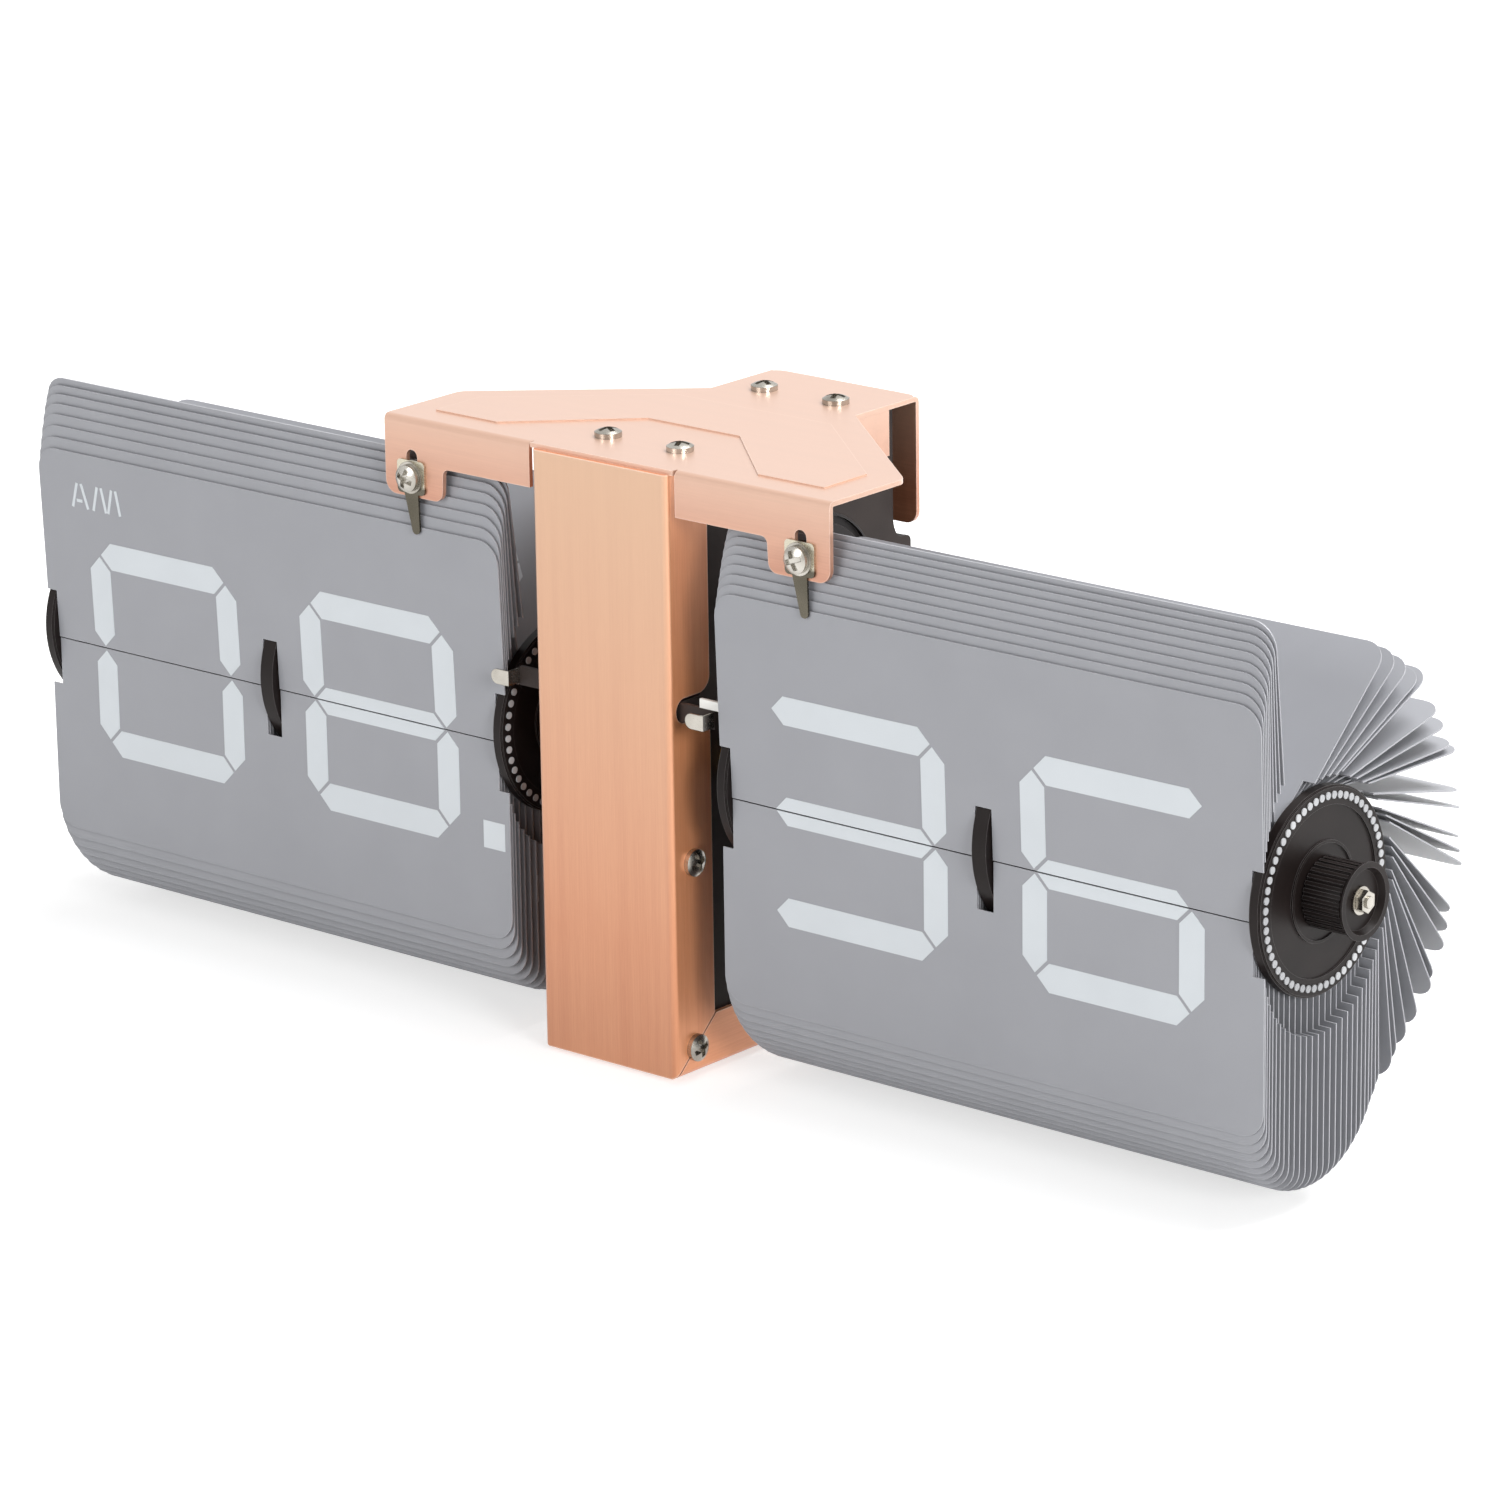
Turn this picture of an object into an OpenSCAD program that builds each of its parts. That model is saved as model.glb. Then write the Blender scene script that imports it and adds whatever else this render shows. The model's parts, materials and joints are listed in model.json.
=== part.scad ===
// Flip clock: a folded sheet-metal column that carries two drums of hinged leaves.
// X runs along the clock with the minutes at +X, +Y is the back and +Z is up.
// The origin is the centre of the underside, on the surface that the clock stands on.

/* [Column] */
// Width of the column over its copper cover
col_w = 38.2; // [36:0.1:44]
// Depth of the column from its front face to its back
col_depth = 83.1; // [80:0.1:92]
// Height of the column from the underside of its base tray to the top of its cover
col_h = 135; // [132:0.5:142]
// Thickness of the copper sheet
copper_t = 1.1; // [0.9:0.1:1.3]
// Thickness of the steel chassis sheet
steel_t = 1; // [0.8:0.1:1.3]
// Depth of the copper cover's side flanges
cover_depth = 13.1; // [11:0.1:14]
// Height of the base tray's sides
tray_side_h = 12; // [10:0.5:14]
// Inner radius of every fold
fold_r = 0.3; // [0.2:0.1:0.6]
// Thickness of the rubber pad under the base
pad_t = 1; // [0.8:0.1:2]

/* [Leaves] */
// Width of one leaf
leaf_w = 142.3; // [130:0.1:150]
// Height of a leaf from the seam to its outer edge
leaf_h = 45.75; // [42:0.05:46.5]
// Thickness of one leaf
leaf_t = 0.3; // [0.2:0.05:0.35]
// Radius of a leaf's outer corners
leaf_corner_r = 5.5; // [2:0.5:8]
// Distance from the middle of the column to a leaf's inner edge
leaf_inset = 30.8; // [30:0.1:34]
// Height of the column's top above the seam between the two showing leaves
seam_h = 69; // [67:0.5:71]
// Distance from the column's front face back to the showing leaves
leaf_setback = 3.1; // [2.6:0.1:3.6]
// Forward lean of the showing upper leaf in degrees
front_lean = 2.2; // [1.8:0.1:2.4]
// Gap between the upper and the lower showing leaf
seam_gap = 0.4; // [0.3:0.05:0.6]
// Number of leaves on the minute drum
minute_leaves = 60; // [60]
// Number of leaves on the hour drum
hour_leaves = 48; // [48]

/* [Drums] */
// Radius of the circle of leaf pins
pin_r = 20; // [19.5:0.1:20.5]
// Width of the drum discs' rims outside the pin circle
disc_rim = 2; // [1.6:0.1:2.1]
// Thickness of an end disc
disc_t = 2.8; // [2:0.1:3.2]
// Thickness of a middle disc
middle_disc_t = 3.7; // [3:0.1:4]
// Radius of the barrel between the discs
barrel_r = 12; // [10:0.5:14]
// Wall of the barrel
barrel_wall = 1.5; // [1:0.1:2.5]
// Radius of the two drum axles
axle_r = 2; // [1.8:0.1:2.2]
// Radius of the showing end of a leaf pin
pin_end_r = 0.8; // [0.7:0.025:0.9]
// Height of a pin end above the disc's face
pin_end_h = 0.25; // [0.15:0.05:0.5]

/* [Setting knob] */
// Radius of the setting knob over its ribs
knob_r = 7.5; // [7:0.1:8]
// Length of the setting knob
knob_len = 10.4; // [7:0.1:12]
// How far the knob's end rim stands out over its ribs
knob_rim_out = 0.7; // [0.4:0.1:1.2]
// Number of ribs round the setting knob
knob_ribs = 30; // [20:1:36]
// Height of a rib
knob_rib_h = 0.4; // [0.3:0.05:0.6]

/* [Top bracket] */
// Width of the bracket over its two wings
wing_span = 126; // [120:0.2:134]
// Depth of a wing from the front flange to its rear corner
wing_depth = 24.5; // [20:0.5:28]
// Width of the bracket's tail
tail_w = 41.2; // [40:0.2:46]
// Depth from the front flange to where the tail starts
tail_start = 60; // [56:0.5:64]
// Drop of a wing's front flange over its inner stretch
flange_drop = 10.1; // [8:0.1:11]
// Drop of a wing's front flange at its outer tab
tab_drop = 17.7; // [16:0.1:18.2]
// Width of the outer tab
tab_w = 16.7; // [14:0.1:18]
// Drop of the rear flange that holds the wall hanger
hanger_drop = 29; // [26:0.5:32]
// Height of the raised panel on the top plate
panel_t = 0.35; // [0.2:0.05:0.6]

/* [Numerals] */
// Width of one numeral
digit_w = 46.5; // [42:0.1:48]
// Height of one numeral
digit_h = 51.3; // [46:0.1:54]
// Stroke of a numeral
stroke = 6.35; // [5:0.05:7]
// Gap between two strokes
stroke_gap = 0.55; // [0.4:0.05:0.8]
// Length added to a stroke's free end
free_end = 3.6; // [3:0.1:3.9]
// Distance from the middle of a leaf to the centre of the inner numeral
near_digit = 33.15; // [32:0.05:34]
// Distance from the middle of a leaf to the centre of the outer numeral
far_digit = 33.05; // [32:0.05:34]
// Thickness of the printed numerals
ink_t = 0.08; // [0.05:0.01:0.12]

/* [Fasteners] */
// Radius of the screw shanks
screw_r = 1.5; // [1.4:0.05:1.6]
// Radius of the screws' pan heads
head_r = 3; // [2.7:0.1:3.2]
// Height of the pan heads
head_h = 2; // [1.6:0.1:2.4]
// Length of a case screw under its head
screw_len = 6; // [5:0.5:8]

/* [Movement] */
// Tooth size of the first gear pair, pitch diameter over teeth
coarse_module = 0.7; // [0.68:0.01:0.72]
// Face width of the gears
gear_t = 3; // [2:0.1:3.2]
// Thickness of the movement plate
plate_t = 2; // [1.5:0.1:2.4]
// Radius of the motor
motor_r = 15; // [12:0.5:15.5]
// Radius of the battery cell
cell_r = 13.1; // [12.5:0.1:13.3]
// Length of the battery cell
cell_len = 50; // [46:0.5:52]

/* [Fits] */
// Radial clearance of a shaft that turns
run_gap = 0.05; // [0.02:0.01:0.08]
// Clearance between pieces that are fixed to each other
fix_gap = 0.02; // [0.01:0.01:0.04]
// Clearance between a drum and what it turns past
turn_gap = 0.36; // [0.3:0.02:0.5]

/* [Hidden] */

copper = "#C98A6B";
dark_steel = "#2B2A2B";
bright_steel = "#B9B8B2";
black_plastic = "#161616";
leaf_grey = "#A7A9AE";
numeral_white = "#DCE3E8";
brass_tone = "#B59A5A";

round_fn = 96;
small_fn = 32;
// Overrun of every cut
over = 1;

// Main planes
base_z = pad_t;
col_top = base_z + col_h;
seam_z = col_top - seam_h;
front_y = -col_depth / 2;
back_y = col_depth / 2;
cover_back_y = front_y + cover_depth;
leaf_y = front_y + leaf_setback;

// Chassis, inside the copper cover
chassis_w = col_w - 2 * copper_t;
chassis_half = chassis_w / 2;
chassis_in = chassis_half - steel_t;
chassis_front = front_y + copper_t;
web_back = chassis_front + steel_t;
tray_in_z = base_z + copper_t;
tail_setback = 6.1;
chassis_rear_top = back_y - tail_setback;
tab_len = 3;
lug_r = 1.5;
step_h = 5.3;
mitre_gap = 0.5;

// Drum axis
seam_angle = 6;
minute_pitch = 360 / minute_leaves;
hour_pitch = 360 / hour_leaves;
axle_y = leaf_y + pin_r;
axle_z = seam_z + pin_r * sin(seam_angle);
disc_r = pin_r + disc_rim;
disc_edge = 0.4;
// How far the end discs stand proud of the leaves' edges, and their gap to the leaves' notches
disc_proud = 0.1;
notch_gap = 0.18;

// Leaf outline
notch_d = disc_t - disc_proud + notch_gap;
notch_h = 11.3;
slot_w = middle_disc_t + 2 * turn_gap;
corner_fn = 6;
leaf_far = leaf_inset + leaf_w;
leaf_mid = leaf_inset + leaf_w / 2;

// How the leaves stand: root and tip of each upright leaf step back by these lengths
root_step = 0.45;
tip_step = 0.5;
upright_angle = 126;
rear_end_angle = -24;
// Direction of a rear leaf in degrees, by the angle of its pin round the drum
rear_fan_angles = [[-27, -90], [-15, -88.5], [-9, -82.5], [-3, -80.5], [3, -75.5], [9, -69.5], [15, -61],
    [21, -59], [27, -51], [33, -46.8], [39, -42.8], [45, -30.5], [51, -28], [57, -24.8], [63, -17.2],
    [69, -12.8], [75, -1.5], [81, 0.3], [87, 6.2], [93, 11.7], [99, 23.5], [105, 24.8], [111, 30.6],
    [117, 36.1], [123, 41.8], [126, 45]];

// Drum pieces along the axle
disc_out_x = leaf_far + disc_proud;
disc_in_x = leaf_inset - disc_proud;
barrel_len = disc_out_x - disc_in_x - 2 * disc_t - 2 * fix_gap;
bush_flange_r = 6;
bush_flange_t = 1.2;
bush_r = 4;
bush_in = 2;
sleeve_r = 5;
sleeve_gap = 0.3;
sleeve_start = chassis_half + bush_flange_t + sleeve_gap;
knob_end_x = disc_out_x + knob_len;
knob_cup_wall = 0.8;
knob_rim_r = knob_r + knob_rim_out;
knob_flare = 1.3;
knob_lip = 0.4;
knob_cup_d = 1.5;
stub_r = 1.25;
nut_r = 2.45;
nut_t = 1.6;
stub_out = 0.5;
washer_r = 3.6;
knob_washer_r = 3;
washer_t = 0.5;
axle_start = 0.2;
minute_axle_end = knob_end_x - knob_cup_d;
hour_axle_end = disc_out_x;
web_recess = 0.4;
bead_r = 10.4;
bead_w = 0.6;

// Top bracket
flange_y = front_y + copper_t;
wing_half = wing_span / 2;
tail_half = tail_w / 2;
bracket_top = col_top + copper_t;
wing_corner_r = 3.5;
tail_corner_r = 3;
tab_corner_r = 3;
relief_w = 0.5;
relief_side = 1.5;
relief_in = col_w / 2 + relief_side;
step_w = 0.4;
step_r = 1.6;
tab_inner_r = 2.4;
side_flange_len = 11.6;
side_flange_drop = 11.4;
hanger_hole_r = 4.5;
hanger_slot_w = 4.5;
hanger_slot_len = 9;
hanger_hole_drop = 19;
hanger_z = bracket_top - hanger_hole_drop;
panel_margin = 8;
panel_front = flange_y + panel_margin;
panel_half = wing_half - panel_margin;
panel_side_in = 2.5;
panel_side_y = flange_y + wing_depth - panel_side_in;
panel_notch_out = 37;
panel_notch_in = 13;
panel_notch_d = 22.3;
panel_notch_y = panel_front + panel_notch_d;
panel_tail_out = 1.5;
panel_tail_half = tail_half + panel_tail_out;
panel_tail_in = 10;
panel_tail_y = flange_y + tail_start - panel_tail_in;

// Case screws
top_screw_x = 10.2;
top_screw_in = 14;
top_screw_front = flange_y + top_screw_in;
top_screw_back = 9.9;
top_screw_rear = chassis_rear_top - top_screw_back;
side_screw_in = 6.7;
side_screw_y = front_y + side_screw_in;
side_screw_drop = 18;
side_screw_upper = seam_z - side_screw_drop;
side_screw_rise = 5.9;
side_screw_lower = base_z + side_screw_rise;
recess_w = 1.1;
recess_len = 4.2;
recess_d = 1;

// Clips that hold the showing leaves
clip_in = 7.9;
clip_x = wing_half - clip_in;
clip_drop = 13.2;
clip_z = bracket_top - clip_drop;
clip_w = 8;
clip_h = 7.5;
clip_t = 0.5;
clip_corner_r = 1;
finger_root_w = 4;
finger_tip_w = 2.2;
finger_shift = 1.1;
finger_len = 9;
clip_slot_w = 3.2;
clip_slot_up = 6.1;
clip_slot_down = 2.8;
spring_plate_t = 0.3;
clip_screw_len = washer_t + fix_gap + clip_t + copper_t + spring_plate_t;

// Catches beside the column
catch_notch_r = 2.8;
catch_rise = 16.4;
catch_z = seam_z + catch_rise;
catch_notch_in = 4.9;
catch_notch_y = front_y + catch_notch_in;
notch_lip_r = 3.6;
catch_t = 0.4;
catch_h = 3.4;
catch_tab_len = 5.1;
catch_tab_out = 5.3;
minute_bar = 28.8;
hour_bar = 26.8;
arm_h = 4.2;
arm_t = 1;
arm_gap = 0.15;
arm_front = catch_notch_y + arm_gap - sqrt(catch_notch_r * catch_notch_r - arm_h * arm_h / 4);
foot_len = 6;
lever_t = 0.8;
lever_h = 2;

// Movement
pinion_teeth = 12;
wheel_teeth = 48;
fine_pinion_teeth = 10;
fine_wheel_teeth = 60;
gear_dist = coarse_module * (pinion_teeth + wheel_teeth) / 2;
fine_module = 2 * gear_dist / (fine_pinion_teeth + fine_wheel_teeth);
counter_angle = 60;
motor_angle = -105;
counter_r = 1.5;
motor_shaft_r = 1;
counter_y = axle_y + gear_dist * cos(counter_angle);
counter_z = axle_z + gear_dist * sin(counter_angle);
motor_y = axle_y + gear_dist * cos(motor_angle);
motor_z = axle_z + gear_dist * sin(motor_angle);
gear_gap = 3;
pinion_x = plate_t / 2 + gear_gap;
hour_gear_x = -plate_t / 2 - gear_gap - gear_t;
drive_x = pinion_x + gear_t + gear_gap;
motor_gap = 1;
motor_t = drive_x - plate_t / 2 - motor_gap;
plate_drop = 36;
plate_low = seam_z - plate_drop;
plate_rise = 42;
plate_high = seam_z + plate_rise;
plate_margin = 4;
plate_step_z = axle_z - 2 * plate_margin;
plate_rear_low = axle_y + axle_r + plate_margin;
plate_rear_high = counter_y + 2 * plate_margin;
plate_foot_w = 11;
plate_foot_t = 1;
round_cover_r = 19.7;
round_cover_t = 1.5;
round_cover_y = 8.1;
round_cover_z = 97.5;
groove_rim = 0.6;
groove_w = 1.7;
groove_d = 1.1;
cover_chamfer = 0.25;
board_t = 1.2;
board_len = 24;
board_h = 14;

// Battery compartment and back
rear_cover_t = 2;
rear_cover_inset = 0.6;
rear_gap = 3.1;
cover_top = bracket_top - hanger_drop - rear_gap;
step_gap = 0.4;
step_z = cover_top + step_gap;
case_gap = 0.1;
rear_cover_y = back_y - rear_cover_inset - rear_cover_t;
holder_wall = 2;
holder_front = rear_cover_y - 2 * cell_r - 3 * holder_wall;
cell_y = rear_cover_y - cell_r - holder_wall;
contact_t = 0.8;
cell_low = tray_in_z + holder_wall + 2 * (contact_t + case_gap);
cell_nub_r = 3.8;
cell_nub_h = 1.5;
contact_w = 12;
holder_h = cell_len + 2 * holder_wall + 4 * contact_t;
door_side = 1.4;
door_w = 2 * (cell_r + door_side);
door_h = holder_h - 2 * holder_wall;
door_gap = 0.3;
door_z = tray_in_z + case_gap + holder_wall;
grip_w = 14;
grip_h = 2;
grip_d = 1;

// Rubber pad under the base
pad_margin = 4;

// Strokes of the small letters, in shares of their height from the left end of the line
letter_h = 5.8;
letter_stroke = 0.75;
letter_in = 10.5;
letter_z = 32.8;
letter_shares = [[0, 0, 0.3, 1], [0.85, 0, 0.52, 1], [0.24, 0.29, 0.55, 0.29], [1.15, 0, 1.42, 1],
    [1.64, 1, 1.85, 0], [1.97, 0, 2.22, 1], [2.44, 1, 2.63, 0]];
point_w = 6.3;
point_in = 4.7;
point_z = 21.9;

// Shapes shared by several pieces

// Points of an arc about c from angle a0 to a1
function arc(c, r, a0, a1, n) =
    [for (i = [0:n]) let (a = a0 + (a1 - a0) * i / n) c + r * [cos(a), sin(a)]];

function unit(v) = v / norm(v);

// Points that round the corner b of the outline a, b, c with radius r
function rounded(a, b, c, r, n = 6) =
    let (u = unit(a - b), v = unit(c - b), half = acos(u * v) / 2, m = b + unit(u + v) * r / sin(half))
    let (p = b + u * r / tan(half) - m, q = b + v * r / tan(half) - m)
    let (a0 = atan2(p[1], p[0]), turn = atan2(p[0] * q[1] - p[1] * q[0], p * q))
    [for (i = [0:n]) m + r * [cos(a0 + turn * i / n), sin(a0 + turn * i / n)]];

// Stands a flat outline up in the plane of Y and Z and gives it a width along X
module along_x(length, start = 0) translate([start, 0, 0]) rotate([90, 0, 90])
    linear_extrude(length) children();

// Turns a piece drawn along Z to lie along X, at the height and depth of the axles
module on_axle(x) translate([x, axle_y, axle_z]) rotate([0, 90, 0]) children();

module both_sides() {
    children();
    mirror([1, 0, 0]) children();
}

// Outline of a folded channel, open at the back
module channel_face(w, d, r) {
    translate([-w / 2, r]) square([w, d - r]);
    translate([r - w / 2, 0]) square([w - 2 * r, r]);
    for (s = [-1, 1]) translate([s * (w / 2 - r), r]) circle(r, $fn = small_fn);
}

module folded_channel(w, d, t) difference() {
    channel_face(w, d, t + fold_r);
    translate([0, t]) channel_face(w - 2 * t, d, fold_r);
}

// Outline of an edge folded down: the sheet runs back along +X and its leg hangs down
module folded_edge(run, drop, t) {
    r = t + fold_r;
    translate([r, -t]) square([run - r, t]);
    translate([0, -drop]) square([t, drop - r]);
    translate([r, -r]) intersection() {
        difference() {
            circle(r, $fn = small_fn);
            circle(fold_r, $fn = small_fn);
        }
        translate([-r, 0]) square(r);
    }
}

// Pan-headed screw with a cross recess, its head standing up from the origin
module pan_screw(shank) {
    dome = 0.45 * head_h;
    dome_r = (head_r * head_r + dome * dome) / (2 * dome);
    difference() {
        union() {
            translate([0, 0, -shank]) cylinder(r = screw_r, h = shank + over / 2, $fn = small_fn);
            cylinder(r = head_r, h = head_h - dome, $fn = small_fn);
            translate([0, 0, head_h - dome]) intersection() {
                cylinder(r = head_r, h = dome, $fn = small_fn);
                translate([0, 0, dome - dome_r]) sphere(dome_r, $fn = round_fn);
            }
        }
        for (a = [0, 90]) rotate([0, 0, a + 20])
            translate([-recess_len / 2, -recess_w / 2, head_h - recess_d])
                cube([recess_len, recess_w, recess_d + over]);
    }
}

// Six-sided nut with its bore, standing up from the origin
module hex_nut(r, bore, h) difference() {
    cylinder(r = r, h = h, $fn = 6);
    translate([0, 0, -over]) cylinder(r = bore + fix_gap, h = h + 2 * over, $fn = small_fn);
}

// Frame of the column

module column_mitre(shift) {
    run = cover_depth + 2 * over;
    slope = tray_side_h / cover_depth;
    both_sides() along_x(copper_t + over, chassis_half)
        polygon([[front_y + shift, base_z - over], [front_y + shift, base_z],
            [front_y + shift + run, base_z + run * slope], [front_y + shift + run, base_z - over]]);
}

// Axes of the four screws through the column's sides
module side_screws() both_sides() for (z = [side_screw_upper, side_screw_lower])
    translate([col_w / 2, side_screw_y, z]) rotate([0, 90, 0]) children();

module top_screws() both_sides() for (y = [top_screw_front, top_screw_rear])
    translate([top_screw_x, y, bracket_top]) children();

module screw_hole() translate([0, 0, -screw_len])
    cylinder(r = screw_r + run_gap, h = screw_len + over, $fn = small_fn);

module chassis() color(dark_steel) difference() {
    union() {
        translate([0, chassis_front, tray_in_z]) linear_extrude(col_top - tray_in_z)
            folded_channel(chassis_w, back_y - chassis_front, steel_t);
        translate([-chassis_in, web_back, col_top - steel_t])
            cube([2 * chassis_in, chassis_rear_top - web_back, steel_t]);
    }
    along_x(chassis_w + 2 * over, -chassis_half - over) polygon(concat(
        [[back_y + over, step_z - lug_r], [back_y + over, col_top + over],
            [chassis_rear_top, col_top + over]],
        [for (a = [90:-15:0])
            [back_y - tab_len - (tail_setback - tab_len) * sin(a), step_z + step_h * (1 - cos(a))]],
        [for (a = [90:-15:0]) [back_y - lug_r + lug_r * cos(a), step_z - lug_r + lug_r * sin(a)]]));
    for (s = [-1, 1]) {
        translate([s * chassis_half, axle_y, axle_z]) rotate([0, 90, 0])
            cylinder(r = bush_r + fix_gap, h = 4 * steel_t, center = true, $fn = round_fn);
        translate([s * chassis_half, counter_y, counter_z]) rotate([0, 90, 0])
            cylinder(r = counter_r + run_gap, h = 4 * steel_t, center = true, $fn = small_fn);
    }
    side_screws() screw_hole();
    top_screws() screw_hole();
}

module column_cover() color(copper) difference() {
    translate([0, front_y, base_z]) linear_extrude(col_h) folded_channel(col_w, cover_depth, copper_t);
    column_mitre(0);
    both_sides() along_x(copper_t + over, chassis_half) union() {
        translate([catch_notch_y, catch_z]) circle(catch_notch_r, $fn = round_fn);
        translate([catch_notch_y, catch_z - catch_notch_r])
            square([cover_depth, 2 * catch_notch_r]);
        translate([cover_back_y - notch_lip_r, catch_z + catch_notch_r]) difference() {
            square([notch_lip_r + over, notch_lip_r]);
            translate([0, notch_lip_r]) circle(notch_lip_r, $fn = round_fn);
        }
    }
    side_screws() screw_hole();
}

module base_tray() color(copper) difference() {
    translate([0, back_y, base_z]) rotate([90, 0, 0]) linear_extrude(back_y - flange_y)
        folded_channel(col_w, tray_side_h, copper_t);
    difference() {
        both_sides() translate([chassis_half, flange_y - over, base_z - over])
            cube([copper_t + over, cover_depth + over, tray_side_h + 2 * over]);
        column_mitre(mitre_gap);
    }
    side_screws() screw_hole();
}

module base_pad() color(black_plastic)
    translate([pad_margin - col_w / 2, front_y + pad_margin, 0])
    cube([col_w - 2 * pad_margin, col_depth - 2 * pad_margin, pad_t]);

// Top bracket

module bracket_plate() {
    front = flange_y + copper_t + fold_r;
    wing_rear = [wing_half, flange_y + wing_depth];
    neck = [tail_half, flange_y + tail_start];
    tail = [tail_half, back_y];
    right = concat([[wing_half, front]], rounded([wing_half, front], wing_rear, neck, wing_corner_r),
        [neck], rounded(neck, tail, [0, back_y], tail_corner_r));
    left = [for (i = [len(right) - 1:-1:0]) [-right[i][0], right[i][1]]];
    linear_extrude(copper_t) polygon(concat(right, left));
}

// What is cut from the full-width front fold: the relief at the column and the low edge beside the tabs
module flange_cutout() {
    low = bracket_top - tab_drop;
    mid = bracket_top - flange_drop;
    tab_in = wing_half - tab_w;
    translate([-relief_in, low - over]) square([2 * relief_in, tab_drop - copper_t - fold_r + over]);
    for (s = [-1, 1]) polygon([for (p = concat(
        [[0, low - over], [0, mid]],
        rounded([0, mid], [tab_in - step_w, mid], [tab_in, low], step_r),
        rounded([tab_in - step_w, mid], [tab_in, low], [wing_half, low], tab_inner_r),
        rounded([tab_in, low], [wing_half, low], [wing_half, mid], tab_corner_r),
        [[wing_half + over, mid], [wing_half + over, low - over]])) [s * p[0], p[1]]]);
}

module clip_slots() both_sides() translate([clip_x, flange_y - over, clip_z]) rotate([-90, 0, 0])
    linear_extrude(copper_t + 2 * over) {
        translate([0, clip_slot_w / 2 - clip_slot_up]) circle(clip_slot_w / 2, $fn = small_fn);
        translate([0, clip_slot_down - clip_slot_w / 2]) circle(clip_slot_w / 2, $fn = small_fn);
        translate([-clip_slot_w / 2, clip_slot_w / 2 - clip_slot_up])
            square([clip_slot_w, clip_slot_up + clip_slot_down - clip_slot_w]);
    }

module hanger_flange() difference() {
    translate([0, back_y, bracket_top]) mirror([0, 1, 0]) along_x(tail_w, -tail_half)
        folded_edge(tail_corner_r + copper_t, hanger_drop, copper_t);
    translate([0, back_y + over, 0]) rotate([90, 0, 0]) linear_extrude(tail_corner_r + copper_t + 2 * over)
        for (s = [-1, 1]) polygon([for (p = concat(
            [[tail_half + over, bracket_top - hanger_drop + tail_corner_r + over]],
            rounded([tail_half, bracket_top], [tail_half, bracket_top - hanger_drop],
                [0, bracket_top - hanger_drop], tail_corner_r),
            [[0, bracket_top - hanger_drop - over], [tail_half + over, bracket_top - hanger_drop - over]]))
            [s * p[0], p[1]]]);
    translate([0, back_y + over, hanger_z]) rotate([90, 0, 0]) linear_extrude(copper_t + 2 * over) {
        circle(hanger_hole_r, $fn = round_fn);
        translate([-hanger_slot_w / 2, 0]) square([hanger_slot_w, hanger_slot_len]);
        translate([0, hanger_slot_len]) circle(hanger_slot_w / 2, $fn = small_fn);
    }
}

module top_bracket() color(copper) difference() {
    union() {
        translate([0, 0, col_top]) bracket_plate();
        translate([-relief_in + relief_w, flange_y, col_top])
            cube([2 * (relief_in - relief_w), 2 * (copper_t + fold_r), copper_t]);
        translate([0, flange_y, bracket_top]) difference() {
            along_x(wing_span, -wing_half) folded_edge(2 * (copper_t + fold_r), tab_drop, copper_t);
            translate([-relief_in, -over, -copper_t - over])
                cube([2 * relief_in, copper_t + fold_r + over, copper_t + 2 * over]);
        }
        both_sides() translate([tail_half, flange_y + tail_start + side_flange_len, bracket_top])
            rotate([90, 0, 0]) linear_extrude(side_flange_len)
            mirror([1, 0]) folded_edge(tail_corner_r, side_flange_drop, copper_t);
        hanger_flange();
        translate([0, 0, bracket_top]) linear_extrude(panel_t) polygon([
            [-panel_half, panel_front], [-panel_notch_out, panel_front], [-panel_notch_in, panel_notch_y],
            [panel_notch_in, panel_notch_y], [panel_notch_out, panel_front], [panel_half, panel_front],
            [panel_half, panel_side_y], [panel_tail_half, panel_tail_y],
            [-panel_tail_half, panel_tail_y], [-panel_half, panel_side_y]]);
    }
    translate([0, flange_y + copper_t + over, 0]) rotate([90, 0, 0]) linear_extrude(copper_t + 2 * over)
        flange_cutout();
    clip_slots();
    top_screws() screw_hole();
}

// Back and battery

module rear_cover() color(black_plastic) difference() {
    translate([case_gap - chassis_in, rear_cover_y, tray_in_z + case_gap])
        cube([2 * (chassis_in - case_gap), rear_cover_t, cover_top - tray_in_z]);
    translate([-door_w / 2 - door_gap, rear_cover_y - over, door_z - door_gap])
        cube([door_w + 2 * door_gap, rear_cover_t + 2 * over, door_h + 2 * door_gap]);
}

module battery_door() color(black_plastic) difference() {
    translate([-door_w / 2, rear_cover_y, door_z]) cube([door_w, rear_cover_t, door_h]);
    for (i = [0:2])
        translate([-grip_w / 2, back_y - rear_cover_inset - grip_d, door_z + door_h - (2 * i + 3) * grip_h])
            cube([grip_w, grip_d + over, grip_h]);
}

module battery_holder() color(black_plastic) difference() {
    translate([case_gap - chassis_in, holder_front, tray_in_z + case_gap])
        cube([2 * (chassis_in - case_gap), rear_cover_y - case_gap - holder_front, holder_h]);
    translate([0, cell_y, tray_in_z + case_gap + holder_wall])
        cylinder(r = cell_r + door_gap, h = holder_h - 2 * holder_wall, $fn = round_fn);
    translate([-cell_r - door_gap, cell_y, tray_in_z + case_gap + holder_wall])
        cube([2 * (cell_r + door_gap), cell_r + 2 * holder_wall, holder_h - 2 * holder_wall]);
}

module battery_cell() color(brass_tone) translate([0, cell_y, cell_low]) {
    cylinder(r = cell_r, h = cell_len - cell_nub_h, $fn = round_fn);
    translate([0, 0, cell_len - cell_nub_h]) cylinder(r = cell_nub_r, h = cell_nub_h, $fn = small_fn);
}

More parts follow.
